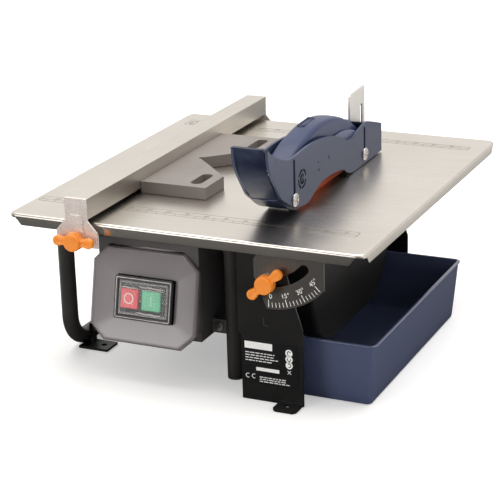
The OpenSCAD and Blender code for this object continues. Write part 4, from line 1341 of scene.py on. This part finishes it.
@dataclass
class SideFrame:
    """The bent leg tube, the folded plates, the feet and the tilt clamps."""

    tube_radius: float = 8.0
    top_bend: float = 24.0
    floor_bend: float = 30.0
    label_seed: int = 7

    def build(self) -> None:
        """Makes the frame's pieces, the tilt knobs and the label."""
        self.leg_tube()
        for side in ("front", "rear"):
            Piece(f"folded_plate_{side}", "base", BLACK_POWDER, (f"{side}_bracket",)).softened(0.5)
        Piece("web_plate", "base", BLACK_POWDER, ("motor_plate",)).softened(0.4)
        Piece("tube_ties", "base", BLACK_POWDER, ("post_ties",)).softened(0.6)
        Piece("tube_end_plugs", "base", RUBBER, ("tube_plugs",)).softened(0.2)
        Piece("table_rest_pads", "base", RUBBER, ("rest_pads",)).softened(0.5)
        Piece("screw_down_feet", "base", BLACK_POWDER, ("foot_brackets",)).softened(0.4)
        Piece("foot_hex_bolts", "base", BRIGHT_ZINC, ("foot_bolts",)).softened(0.3)
        dress(BRIGHT_ZINC, "tilt_bolts", "tilt_guide_pins")
        for side, place in (("front", FRONT), ("rear", BACK)):
            node = f"tilt_knob_{side}"
            low, high = low_high(node)
            seat = high[1] if side == "front" else low[1]
            middle = (low + high) / 2
            turn = math.radians(41.0) * place.right[0]
            WingKnob(node, node, place.at((middle[0], seat, middle[2])), turn).build()
        self.label()
        self.stamp()

    def leg_tube(self) -> None:
        """Makes the leg tube: a circle along two uprights, two cross runs and the floor run."""
        low, high = low_high("leg_tube")
        r = self.tube_radius
        x0, x1, y0, y1 = low[0] + r, high[0] - r, low[1] + r, high[1] - r
        z0, z1 = r, high[2] - r
        corners = np.array(
            [[x1, y0, 0.6], [x1, y0, z1], [x0, y0, z1], [x0, y0, z0],
             [x0, y1, z0], [x0, y1, z1], [x1, y1, z1], [x1, y1, 0.6]]
        )
        radii = np.array([self.top_bend] * 2 + [self.floor_bend] * 2 + [self.top_bend] * 2)
        path = rounded_path(corners, radii, 12)
        shape = Shape().closed(tube(path, r, 36))
        Piece("bent_leg_tube", "base", TUBE_BLACK, ("leg_tube",)).surface(shape)

    def label(self) -> None:
        """Makes the label's film and its plain printed bars, rings and discs."""
        Piece("label_film", "base", LABEL_BLACK, ("rating_label",)).softened(0.12)
        low, high = low_high("rating_label")
        here = FRONT.at((low[0], low[1], low[2]))
        w, h = high[0] - low[0], high[2] - low[2]
        depth = (-0.02, 0.05)
        rng = np.random.default_rng(self.label_seed)
        shape = Shape()
        head = np.array([[0.29 * w, 0.87 * h]])
        shape.bars(here, head, np.array([[0.25 * w, 3.4]]), np.zeros(1), depth)
        for row, level in enumerate((0.7, 0.64, 0.58, 0.52, 0.16, 0.11, 0.06)):
            left = 0.05 if row < 4 else 0.3
            lengths = rng.uniform(0.03, 0.09, 7) * w
            starts = left * w + np.concatenate([[0], np.cumsum(lengths[:-1] + 0.9)])
            keep = starts + lengths < (0.7 if row < 4 else 0.93) * w
            centres = np.column_stack([starts + lengths / 2, np.full(7, level * h)])[keep]
            halves = np.column_stack([lengths / 2, np.full(7, 0.42)])[keep]
            shape.bars(here, centres, halves, np.zeros(len(centres)), depth)
        serial = np.array([[0.45 * w, 0.34 * h]])
        shape.bars(here, serial, np.array([[0.21 * w, 1.7]]), np.zeros(1), depth)
        for level in (0.8, 0.66, 0.52):
            shape.closed(here.world(turned(np.array([[0.05, 0.05], [3.5, 0.05], [3.5, -0.02]]), 32)
                                    + np.array([0.84 * w, level * h, 0.0])))
        for spot in ((0.09 * w, 0.16 * h), (0.2 * w, 0.16 * h)):
            shape.bars(here, *arc_band(spot, 2.0, 0.7, 60, 300), depth)
        cross = np.array([[0.84 * w, 0.36 * h]] * 2)
        shape.bars(here, cross, np.array([[2.4, 0.3]] * 2), np.radians([45, -45]), depth)
        Piece("label_print", "base", WHITE_PRINT).surface(shape)
        dots = Shape()
        for level, start in ((0.8, 20), (0.66, 140), (0.52, 250)):
            spot = (0.84 * w, level * h)
            dots.bars(here, *arc_band(spot, 1.7, 0.8, start, start + 240), (0.03, 0.08))
        Piece("label_rings", "base", LABEL_BLACK).surface(dots)

    def stamp(self) -> None:
        """Makes the pressed corner mark on the front plate from two low bars."""
        label_low, _ = low_high("rating_label")
        here = FRONT.at((82.4, label_low[1] + 0.4, 78.5))
        shape = Shape().bars(
            here, np.array([[-2.2, 0.0], [0.0, -3.5]]), np.array([[0.28, 3.8], [2.4, 0.28]]),
            np.zeros(2), (-0.02, 0.1),
        )
        # Lighter than the plate's black: a painted highlight on the pressed mark's edges.
        lit_mark = replace(BLACK_POWDER, name="mark_painted_highlight", color=tone("4A4745"), cloud=tone("3A3836"))
        Piece("pressed_corner_mark", "base", lit_mark).surface(shape)


# ---------- motor ----------


@dataclass
class Motor:
    """The motor's casing, end shields, stator, rotor and fan."""

    def build(self) -> None:
        """Makes the casing and dresses the parts inside it."""
        Piece("motor_shell", "base", CASING_BLACK, ("motor_casing",)).softened(1.0, 3)
        Piece("shell_screw", "base", BRIGHT_ZINC, ("casing_screw",)).softened(0.4, 3)
        dress(ALUMINIUM, "front_end_bell", "rear_end_bell")
        dress(BRIGHT_ZINC, "tie_rods", "capacitor")
        dress(LAMINATIONS, "stator_core", "rotor_core")
        dress(COPPER, "stator_windings")
        dress(BEARING, "bearings", "motor_shaft")
        dress(FAN_BLACK, "cooling_fan")
        self.gland()

    def gland(self) -> None:
        """Makes the inlet bush: a turned sleeve with three shallow grooves and an open bore."""
        low, high = low_high("cable_gland")
        middle = (low + high) / 2
        here = BACK.at((middle[0], low[1], middle[2]))
        length = high[1] - low[1]
        groove = np.linspace(6.4, length - 0.8, 13)
        radius = 8.2 - 0.5 * (np.arange(13) % 4 == 2) - 0.09 * (groove - 6.4)
        outside = np.column_stack([radius, groove])
        profile = np.concatenate(
            [[[3.6, 0.0], [6.0, 0.0], [6.0, 6.0], [8.2, 6.1]], outside,
             [[6.6, length], [3.9, length], [3.6, length - 0.4]]]
        )
        shape = Shape().grid(here.world(turned(profile, 40)), wrap_u=True)
        Piece("cable_inlet_bush", "base", RUBBER, ("cable_gland",)).surface(shape)


@dataclass
class ControlPanel:
    """The eight-sided leaning cover with the switch, its clear film and two buttons."""

    cut: float = 14.5
    slope: float = 20 / 89
    switch_mid: Pair = (1.5, -1.5)
    opening: Pair = (30.6, 21.1)
    window: Pair = (26.0, 16.5)
    stop_at: Pair = (-14.0, -2.2)
    start_at: Pair = (9.5, -2.2)
    button_half: Pair = (10.0, 9.5)
    button_top: float = 2.6
    button_foot: float = -7.0
    # Painted highlight streaks on the film: middle, half length, width and turn of each.
    painted_highlight_streaks: tuple[tuple[Pair, float, float, float], ...] = (
        ((-14.8, 9.9), 10.0, 0.55, -0.02), ((8.5, 11.6), 14.0, 0.7, -0.03),
        ((9.5, 9.4), 12.5, 0.35, 0.02), ((7.0, -13.3), 13.0, 0.7, -0.02),
        ((-2.3, -1.5), 0.6, 0.5, 1.57), ((20.9, -0.5), 0.5, 0.4, 1.57),
    )

    def build(self) -> None:
        """Makes the cover, the switch and both buttons."""
        self.low, self.high = low_high("panel_cover")
        middle = (self.low + self.high) / 2
        lean = math.atan(self.slope)
        face_y = self.low[1] + (middle[2] - self.low[2]) * self.slope
        self.face = Place(
            (1, 0, 0), (0, math.sin(lean), math.cos(lean)), (0, -math.cos(lean), math.sin(lean)),
            (middle[0], face_y, middle[2]),
        )
        self.stretch = 1 / math.cos(lean)
        self.cover()
        Piece("switch_frame", "base", BEZEL_DARK, ("switch_bezel",)).softened(0.6, 3)
        Piece("switch_housing", "base", SWITCH_BLACK, ("switch_body",)).softened(0.3)
        self.inner_frame()
        self.film()
        self.button("stop_button", self.stop_at, STOP_RED)
        self.button("start_button", self.start_at, START_GREEN)
        self.legends()

    def cover(self) -> None:
        """Makes the cover: rays from the switch times a profile of wall, rim and dished face.

        The rim is the eight-sided outline at growing insets, and the face runs from it to the
        switch opening with a small fall, so that it creases towards the corners.
        """
        half = (self.high - self.low)[[0, 2]] / 2
        a, b = half[0], half[1] * self.stretch
        ca, cb = self.cut, self.cut * self.stretch
        eight = Convex(
            ((-a + ca, -b), (a - ca, -b), (a, -b + cb), (a, b - cb),
             (a - ca, b), (-a + ca, b), (-a, b - cb), (-a, -b + cb))
        )
        hole = RoundRect(self.switch_mid, self.opening, 1.6)
        origin = np.array(self.switch_mid)
        corners = np.array(eight.corners)
        between = (corners + np.roll(corners, -1, axis=0)) / 2
        directions = rays(origin, corners, between, hole.ring(0, 4))
        steps = ((0.0, 2.6), (0.25, 1.7), (0.9, 0.9), (2.0, 0.15), (2.5, 0.0), (3.0, 0.05),
                 (3.3, 0.4), (3.8, 0.5))
        rows = [
            np.column_stack([p := cast(origin, directions, eight, d), np.full(len(p), -depth)])
            for d, depth in steps
        ]
        face = [self.face.world(row) for row in rows]
        inner = cast(origin, directions, hole)
        fall = np.column_stack([inner, np.full(len(inner), -1.9)])
        lip = np.column_stack([inner, np.full(len(inner), -4.0)])
        face += [self.face.world(fall), self.face.world(lip)]
        back = face[0].copy()
        back[:, 1] = self.high[1] - 0.02
        shape = Shape().grid(np.stack([back, *face]))
        Piece("panel_shell", "base", PANEL_GREY, ("panel_cover",), crease=12.0).surface(shape, 2.2)

    def on_switch(self, points: Array) -> Array:
        """Points (a, b, height) about the switch's middle, in the frame."""
        return self.face.world(points + np.array([*self.switch_mid, 0.0]))

    def inner_frame(self) -> None:
        """Makes the pale step inside the window: two nested round rectangles joined flat."""
        outer = RoundRect((0.0, 0.0), (self.window[0] - 0.2, self.window[1] - 0.2), 1.4)
        insets, heights = (0.0, 0.4, 1.8, 2.2, 2.2, 0.0), (2.6, 3.0, 3.0, 2.6, 1.05, 1.05)
        rings = loft([outer.ring(d) for d in insets], heights)
        shape = Shape().grid(self.on_switch(rings), wrap_u=True)
        pale = replace(BEZEL_DARK, name="window_step", color=tone("6C6869"), cloud=tone("7A7678"))
        Piece("window_step", "base", pale).surface(shape)
        low, high = low_high("switch_bezel")
        half = (high[0] - low[0]) / 2
        # A low ridge round the bezel, coloured near white: a painted highlight along its middle.
        border = RoundRect((0.0, 0.0), (half - 1.7, half * 41 / 60 - 1.7), 1.2)
        bead = Shape().grid(self.on_switch(ridge(border, 0.9, 0.35, 3.98)), wrap_u=True)
        Piece("bezel_highlight_ridge", "base", PAINTED_FILM_HIGHLIGHT).surface(bead)

    def film(self) -> None:
        """Makes the clear film: a plane raised by exp(-(a/w)^6 - (b/h)^6) over each button."""
        a, b = np.meshgrid(
            np.linspace(-self.window[0] + 0.1, self.window[0] - 0.1, 64),
            np.linspace(-self.window[1] + 0.1, self.window[1] - 0.1, 44),
            indexing="ij",
        )
        height = np.full_like(a, 3.3)
        for spot in (self.stop_at, self.start_at):
            da = (a - spot[0] + self.switch_mid[0]) / 9.6
            db = (b - spot[1] + self.switch_mid[1]) / 9.2
            height += 0.5 * np.exp(-(da**6) - db**6)
        shape = Shape().grid(self.on_switch(np.stack([a, b, height], axis=-1)), wrap_v=False)
        Piece("clear_switch_film", "base", CLEAR_FILM, ("switch_membrane",)).surface(shape, 0.18)
        # Thin near-white tubes over the film: painted highlights where the film catches light.
        painted_highlight_streaks = Shape()
        for middle, reach, width, turn in self.painted_highlight_streaks:
            t = np.linspace(-1, 1, 24)
            x = middle[0] + reach * t * math.cos(turn)
            y = middle[1] + reach * t * math.sin(turn) + 0.25 * np.sin(7 * t + middle[0])
            path = self.on_switch(np.column_stack([x, y, np.full(24, 3.35)]))
            painted_highlight_streaks.closed(tube(path, 0.03 + width * (1 - t**2) ** 0.35, 10))
        Piece("film_painted_highlights", "base", PAINTED_FILM_HIGHLIGHT).surface(painted_highlight_streaks)

    def button(self, node: str, spot: Pair, finish: Finish) -> None:
        """Makes a button: round rectangles with a soft edge and a shallow dish on top.

        Args:
            node: The CAD node and the body.
            spot: Its middle on the face.
            finish: Its finish.
        """
        outline = RoundRect(spot, self.button_half, 1.3)
        insets = (0.0, 0.0, 0.15, 0.45, 0.9, 2.0, 2.9)
        below = (self.button_foot - self.button_top, -0.9, -0.45, -0.13, 0.0, -0.12, -0.22)
        heights = [self.button_top + d for d in below]
        shape = Shape().closed(self.face.world(loft([outline.ring(d) for d in insets], heights)))
        Piece(f"{node}_cap", node, finish, (node,)).surface(shape)

    def legends(self) -> None:
        """Makes the ring of the stop button and the bar of the start button."""
        depth = (self.button_top - 0.24, self.button_top - 0.12)
        ring = Shape().bars(self.face, *arc_band(self.stop_at, 4.6, 1.0, 0, 360), depth)
        Piece("stop_ring_print", "stop_button", WHITE_PRINT).surface(ring)
        bar = Shape().bars(
            self.face, np.array([self.start_at]), np.array([[0.55, 4.8]]), np.zeros(1), depth
        )
        pale = replace(WHITE_PRINT, name="pale_green_print", color=tone("A9E3CB"), cloud=tone("9AD8BF"))
        Piece("start_bar_print", "start_button", pale).surface(bar)


# ---------- blade ----------


@dataclass
class BladeUnit:
    """The diamond blade with its flanges, the housing round it and the riving knife."""

    house_wall: float = 2.0
    house_round: float = 5.0
    front_arc: float = 50.0
    rear_arc: float = 70.0
    rim_width: float = 7.0
    rim_waves: int = 64

    def build(self) -> None:
        """Makes the blade, the housing, the knife and their fasteners."""
        self.blade()
        self.housing()
        Piece("flange_inner", "rotor", BRIGHT_ZINC, ("inner_flange",)).softened(0.3)
        Piece("flange_outer", "rotor", BRIGHT_ZINC, ("outer_flange",)).softened(0.3)
        Piece("blade_nut", "rotor", BRIGHT_ZINC, ("arbor_nut",)).softened(0.6, 3)
        dress(BRIGHT_ZINC, "housing_screws")
        Piece("knife_plate", "base", KNIFE_STEEL, ("riving_knife",)).softened(0.25)
        Piece("knife_block", "base", BRIGHT_ZINC, ("knife_mount",)).softened(0.3)

    def blade(self) -> None:
        """Makes the disc and its rim: (x, r cos t, r sin t), with a rim that waves sideways."""
        low, high = low_high("diamond_blade")
        middle, radius = (low + high) / 2, (high[2] - low[2]) / 2
        half = (high[0] - low[0]) / 2
        here = RIGHT.at(middle)
        core = radius - self.rim_width
        disc = turned(
            np.array([[11.1, -0.8 * half], [core, -0.8 * half], [core, 0.8 * half], [11.1, 0.8 * half]]),
            128,
        )
        Piece("blade_disc", "rotor", BLADE_ORANGE, ("diamond_blade",)).surface(
            Shape().grid(here.world(disc), wrap_u=True)
        )
        rim = turned(
            np.array(
                [[core - 0.5, -0.7 * half], [core, -0.95 * half], [radius - 0.3, -0.95 * half],
                 [radius, -0.7 * half], [radius, 0.7 * half], [radius - 0.3, 0.95 * half],
                 [core, 0.95 * half], [core - 0.5, 0.7 * half]]
            ),
            512,
        )
        t = np.linspace(0, 2 * np.pi, 512, endpoint=False)
        notch = np.clip(np.cos(self.rim_waves * t), 0.55, 1.0) - 0.55
        rim[1:7, :, 2] *= 1 - 0.5 * notch[None, :]
        shape = Shape().grid(here.world(rim), wrap_u=True)
        Piece("blade_rim", "rotor", DIAMOND_GREY).surface(shape)

    def housing(self) -> None:
        """Makes the housing: a U-shaped path in (y, z) carried outwards into a rounded face.

        The wall runs from its inner edge to a quarter circle, and straight lines join the
        face's edge to evenly spaced points of the open top.
        """
        low, high = low_high("blade_housing")
        y0, y1, z0, z1 = low[1], high[1], low[2], high[2]
        a, b, soft = self.front_arc, self.rear_arc, self.house_round
        corners = np.array([[0, y0, z1], [0, y0, z0], [0, y1, z0], [0, y1, z1]], float)
        path = rounded_path(corners, np.array([a, b]), 22)[:, 1:]
        fill = [np.linspace(path[0], path[1], 6)[:-1], path[1:-1], np.linspace(path[-2], path[-1], 6)[1:]]
        path = np.concatenate(fill)
        along = unit(np.gradient(path, axis=0))
        inward = np.stack([-along[:, 1], along[:, 0]], axis=-1)
        below = (path[:, 1] < 60) & (path[:, 0] > -110) & (path[:, 0] < 66)
        behind = path[:, 0] > 40
        start = np.where(below, 86.0, np.where(behind, 70.0, low[0]))
        t = np.radians(np.linspace(0, 90, 7))
        rows = [np.column_stack([start, path])]
        rows += [
            np.column_stack(
                [np.full(len(path), high[0] - soft + soft * math.sin(v)),
                 path + inward * soft * (1 - math.cos(v))]
            )
            for v in t
        ]
        edge = rows[-1]
        share = np.linspace(0, 1, len(path))
        goal = np.column_stack(
            [edge[:, 0], y0 + soft + share * (y1 - y0 - 2 * soft), np.full(len(path), z1)]
        )
        rows += [edge + (goal - edge) * s for s in (0.3, 0.65, 1.0)]
        points = np.stack(rows)
        points[..., 2] = np.minimum(points[..., 2], z1)
        shell = Shape().grid(points, wrap_v=False)
        smooth_black = replace(
            BLACK_POWDER, name="housing_black", roughness=0.46, bump=0.15, color=tone("1E1D1B"),
            cloud=tone("272522"),
        )
        Piece("housing_shell", "base", smooth_black, ("blade_housing",)).surface(
            shell, self.house_wall
        )
        left = low[0]
        arms = Shape()
        for near, far in (
            ((left, y0 + 1.5, 120.0), (left + 2, y0 + 14, 130.0)),
            ((left, y1 - 21, 88.0), (left + 2, y1 - 2.5, 98.0)),
            ((left, y1 - 5.5, 90.0), (high[0] - 1, y1 - 2.5, 96.0)),
        ):
            arms.closed(block(np.array(near), np.array(far), 0.5))
        Piece("housing_arms", "base", smooth_black).surface(arms)


# ---------- guard ----------


@dataclass
class Guard:
    """The blade guard: two side plates with a scoop, the hump over the blade and its screws."""

    lower_edge: tuple[Pair, ...] = (
        (-124.0, 174.0), (-114.0, 167.0), (-102.0, 166.5), (-70.0, 176.0), (10.0, 176.0),
        (46.0, 174.0), (60.0, 161.5), (69.5, 161.5),
    )
    hump_round: float = 4.5
    emblem: Pair = (-94.5, 187.0)
    emblem_radius: float = 9.0
    screw_front: Pair = (-113.0, 172.0)
    screw_rear: Pair = (67.0, 167.0)
    recess_y: Pair = (-46.0, -18.0)

    def build(self) -> None:
        """Makes the guard's pieces."""
        Piece("guard_plates", "guard", GUARD_SLATE, ("guard_shroud",), crease=28.0).softened(0.5)
        self.hump()
        self.scoop_details()
        self.marks()
        self.screws()
        Piece("knife_clamp_bolt", "guard", BRIGHT_ZINC, ("guard_clamp_bolt",)).softened(0.4, 3)

    def crest(self, y: Array) -> Array:
        """Height of the hump at y, read from the CAD node's highest points."""
        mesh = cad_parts["guard_core"].data
        flat = np.zeros(len(mesh.vertices) * 3)
        mesh.vertices.foreach_get("co", flat)
        points = np.unique(np.round(flat.reshape(-1, 3) / MM, 2), axis=0)
        upper = points[(points[:, 0] > points[:, 0].max() - 0.1) & (points[:, 2] > 185)]
        order = upper[np.argsort(upper[:, 1])]
        return np.interp(y, order[:, 1], order[:, 2])

    def hump(self) -> None:
        """Makes the hump: an arch with round shoulders carried along the crest's height.

        At each y the section climbs one side, turns through a quarter circle, crosses a
        slightly crowned top and comes down the other side.
        """
        low, high = low_high("guard_core")
        x0, x1 = low[0], high[0]
        edge_y, edge_z = np.array(self.lower_edge).T
        y = np.linspace(edge_y[0], edge_y[-1], 110)
        crest, foot = self.crest(y), np.interp(y, edge_y, edge_z)
        kernel = np.hanning(9) / np.hanning(9).sum()
        crest = np.convolve(np.pad(crest, 4, mode="reflect", reflect_type="odd"), kernel, "valid")
        r = self.hump_round
        t = np.radians(np.linspace(0, 90, 7))
        left = np.column_stack([x0 + r * (1 - np.cos(t)), r * (np.sin(t) - 1)])
        crown = np.linspace(x0 + r, x1 - r, 7)[1:-1]
        lift = 0.5 * np.cos((crown - (x0 + x1) / 2) / (x1 - x0 - 2 * r) * np.pi)
        right = np.column_stack([x1 - r * (1 - np.cos(t[::-1])), r * (np.sin(t[::-1]) - 1)])
        top = np.concatenate([left, np.column_stack([crown, lift]), right])
        x = np.concatenate([[x0, x0, x0], top[:, 0], [x1, x1, x1]])
        z_top = crest[:, None] - 0.5 + top[None, :, 1]
        side = (crest - 0.5 - r)[:, None] + (foot - crest + 0.5 + r)[:, None] * np.array([1, 0.66, 0.33])
        z = np.concatenate([side, z_top, side[:, ::-1]], axis=1)
        points = np.stack(
            [np.broadcast_to(x, z.shape), np.broadcast_to(y[:, None], z.shape), z], axis=-1
        )
        shape = Shape().grid(points, wrap_v=False).cap(points[0])
        Piece("guard_hump", "guard", CREST_BLUE, ("guard_core",), crease=50.0).surface(shape, 2.2)
        self.hump_recess(x0)

    def hump_recess(self, x0: float) -> None:
        """Makes the small rectangular frame on the hump, bent along the crest.

        Args:
            x0: Left side of the hump.
        """
        middle = (sum(self.recess_y) / 2, (self.recess_y[1] - self.recess_y[0]) / 2)
        shape = Shape()
        outline = RoundRect((x0 + 8.2, middle[0]), (3.6, middle[1]), 1.2)
        for inset, height in ((0.0, 0.7), (1.9, 0.55)):
            rings = loft(
                [outline.ring(inset + d, 5) for d in (-0.5, -0.25, 0.25, 0.5)],
                [-0.3, height, height, -0.3],
            )
            rings[..., 2] += self.crest(rings[..., 1])
            shape.grid(rings, wrap_u=True)
        # Darker blue than the hump: painted shade along the recess's raised edges.
        dark = replace(CREST_BLUE, name="recess_painted_shade", color=tone("333B5A"), cloud=tone("2C3350"))
        Piece("hump_frame", "guard", dark).surface(shape)

    def scoop_details(self) -> None:
        """Makes the bead on the scoop's lip, the rib low on it, the groove clip and the shoulder."""
        low, high = low_high("guard_shroud")
        x0, x1 = low[0] + 1.0, high[0] - 4.2
        lip = np.array([[x0, -172.2, 234.3], [(x0 + x1) / 2, -172.2, 234.3], [x1, -172.2, 234.3]])
        bead = Shape().closed(tube(lip, 1.15, 20))
        glossy = replace(
            CREST_BLUE, name="scoop_gloss", color=tone("2C3E63"), cloud=tone("24355A"), roughness=0.2,
            coat=0.5,
        )
        x = np.linspace(x0 + 1.5, x1 - 1.5, 24)
        wave = 0.35 * np.sin((x - x0) / (x1 - x0) * 3 * np.pi)
        rib_path = np.column_stack([x, -136.6 + 0 * x, 176.9 + wave])
        bead.closed(tube(rib_path, np.interp(x, [x[0], x[1], x[-2], x[-1]], [0.2, 0.6, 0.6, 0.2]), 12))
        Piece("scoop_lip_and_rib", "guard", glossy).surface(bead)
        clip = Shape()
        for level in (0.0, 4.2):
            spot = np.array([x1 + 0.9, -161.6 - 0.45 * level, 211.0 + level])
            clip.closed(block(spot - [0.8, 1.4, 1.8], spot + [0.8, 1.4, 1.8], 0.4))
        white = replace(WHITE_PRINT, name="clip_white", slot="guard_blue", roughness=0.4)
        Piece("groove_clip", "guard", white).surface(clip)
        y = np.linspace(-16.0, 50.0, 50)
        share = (y - y[0]) / (y[-1] - y[0])
        top = 201.8 - 6.3 * share + 5.6 * np.sin(np.pi * share) ** 0.8 - 4.0 * share * (1 - share)
        section = RoundRect((76.6, 0.0), (1.5, 5.0), 1.2).ring(0, 4)
        points = np.stack(
            [
                np.broadcast_to(section[:, 0], (50, len(section))),
                np.broadcast_to(y[:, None], (50, len(section))),
                (top - 5.0)[:, None] + section[:, 1],
            ],
            axis=-1,
        )
        pale = replace(CREST_BLUE, name="shoulder_blue", color=tone("5C6280"), cloud=tone("666C88"))
        Piece("inner_shoulder", "guard", pale).surface(Shape().closed(points))

    def marks(self) -> None:
        """Makes the turning-direction ring and two small pressed marks on the right plate."""
        _, high = low_high("guard_shroud")
        here = RIGHT.at((high[0], 0.0, 0.0))
        depth = (-0.02, 0.12)
        shape = Shape()
        for start, stop in ((10, 70), (85, 155), (170, 250), (265, 345)):
            shape.bars(here, *arc_band(self.emblem, self.emblem_radius - 0.6, 2.2, start, stop), depth)
        shape.bars(here, *arc_band(self.emblem, 3.9, 2.6, 100, 330), depth)
        y, z = self.emblem
        arrow = np.array([[y + 2.2, z + 3.0], [y - 1.4, z + 4.2], [y + 0.5, z - 0.2]])
        shape.bars(here, arrow, np.array([[2.2, 0.7], [1.6, 0.7], [0.8, 1.6]]),
                   np.radians([-52.0, 40.0, 10.0]), depth)
        dashes = np.array([[-29.3, 190.6], [-28.3, 188.6], [-55.2, 192.4], [-54.0, 184.4]])
        halves = np.array([[0.35, 1.8], [1.1, 0.35], [0.6, 0.8], [0.7, 1.5]])
        shape.bars(here, dashes, halves, np.radians([0.0, 0.0, 20.0, 15.0]), depth)
        Piece("direction_ring", "guard", NAVY_PRINT).surface(shape)

    def screws(self) -> None:
        """Makes the four pan-head screws with their spacers."""
        _, high = low_high("guard_screws")
        plate, core = low_high("guard_shroud"), low_high("guard_core")
        shape = Shape()
        for y, z in (self.screw_front, self.screw_rear):
            for place, seat, inner in (
                (RIGHT, plate[1][0], core[1][0]),
                (LEFT, plate[0][0], core[0][0]),
            ):
                depth = abs(seat - inner) + 2.5
                head = high[0] - plate[1][0]
                screw = PanScrew(6.5, head, 1.7, depth)
                shape.closed(screw.points(place.at((seat, y, z))))
                ring = np.array([[1.75, -depth + 2.5], [4.0, -depth + 2.5], [4.0, -2.5], [1.75, -2.5]])
                shape.grid(place.at((seat, y, z)).world(turned(ring, 32)), wrap_u=True)
        Piece("guard_pan_screws", "guard", BRIGHT_ZINC, ("guard_screws",)).surface(shape)


# ---------- tray ----------


@dataclass
class WaterTray:
    """The loose water tray, a tapered tub with a rolled lip."""

    wall: float = 2.0
    lip: float = 1.5
    taper_low: Pair = (5.0, 3.0)
    taper_high: Pair = (5.0, 6.0)
    corner: float = 5.0

    def ring(self, share: float, inset: float) -> Array:
        """The tray's outline at a share of its height, inset by so much."""
        near = self.low[:2] + self.lip + np.array(self.taper_low) * (1 - share)
        far = self.high[:2] - self.lip - np.array(self.taper_high) * (1 - share)
        outline = RoundRect(tuple((near + far) / 2), tuple((far - near) / 2), self.corner)
        return outline.ring(inset, 8)

    def build(self) -> None:
        """Makes the tray: round rectangles up the outside, over the lip and down the inside."""
        self.low, self.high = low_high("water_tray")
        top, wall = self.high[2], self.wall
        steps = [(0.0, 3.0, 0.0), (0.0, 1.2, 0.15), (0.01, 0.3, 0.9), (0.03, 0.0, 2.2)]
        steps += [(s, 0.0, s * top) for s in (0.25, 0.5, 0.75, 0.93)]
        roll = np.radians(np.linspace(-90, 180, 10))
        lip = self.lip
        steps += [(0.955, 0.0, top - 3.0), (0.96, -lip * 0.6, top - 2.6)]
        steps += [
            (0.985, -lip * 0.1 - 0.9 * lip * math.cos(a), top - 1.3 + 1.3 * math.sin(a))
            for a in roll[1:7]
        ]
        steps += [(1.0, 0.6, top), (0.99, wall - 0.5, top - 0.2), (0.97, wall, top - 1.0)]
        steps += [(s, wall, s * top) for s in (0.75, 0.5, 0.25)]
        steps += [(0.06, wall, 4.5), (0.04, wall + 0.8, 2.9), (0.03, wall + 2.6, wall)]
        rings = loft([self.ring(s, d) for s, d, _ in steps], [z for _, _, z in steps])
        Piece("tray_tub", "tray", TRAY_BLUE, ("water_tray",), crease=45.0).surface(Shape().closed(rings))


# ---------- all ----------


def main() -> None:
    """Builds the studio and then each sub-assembly in order."""
    logging.basicConfig(level=logging.INFO, format="%(message)s")
    Studio().build()
    for part in (Table(), Fence(), SideFrame(), Motor(), ControlPanel(), BladeUnit(), Guard(), WaterTray()):
        log.info("-- %s", type(part).__name__)
        part.build()


if __name__ == "__main__":
    main()
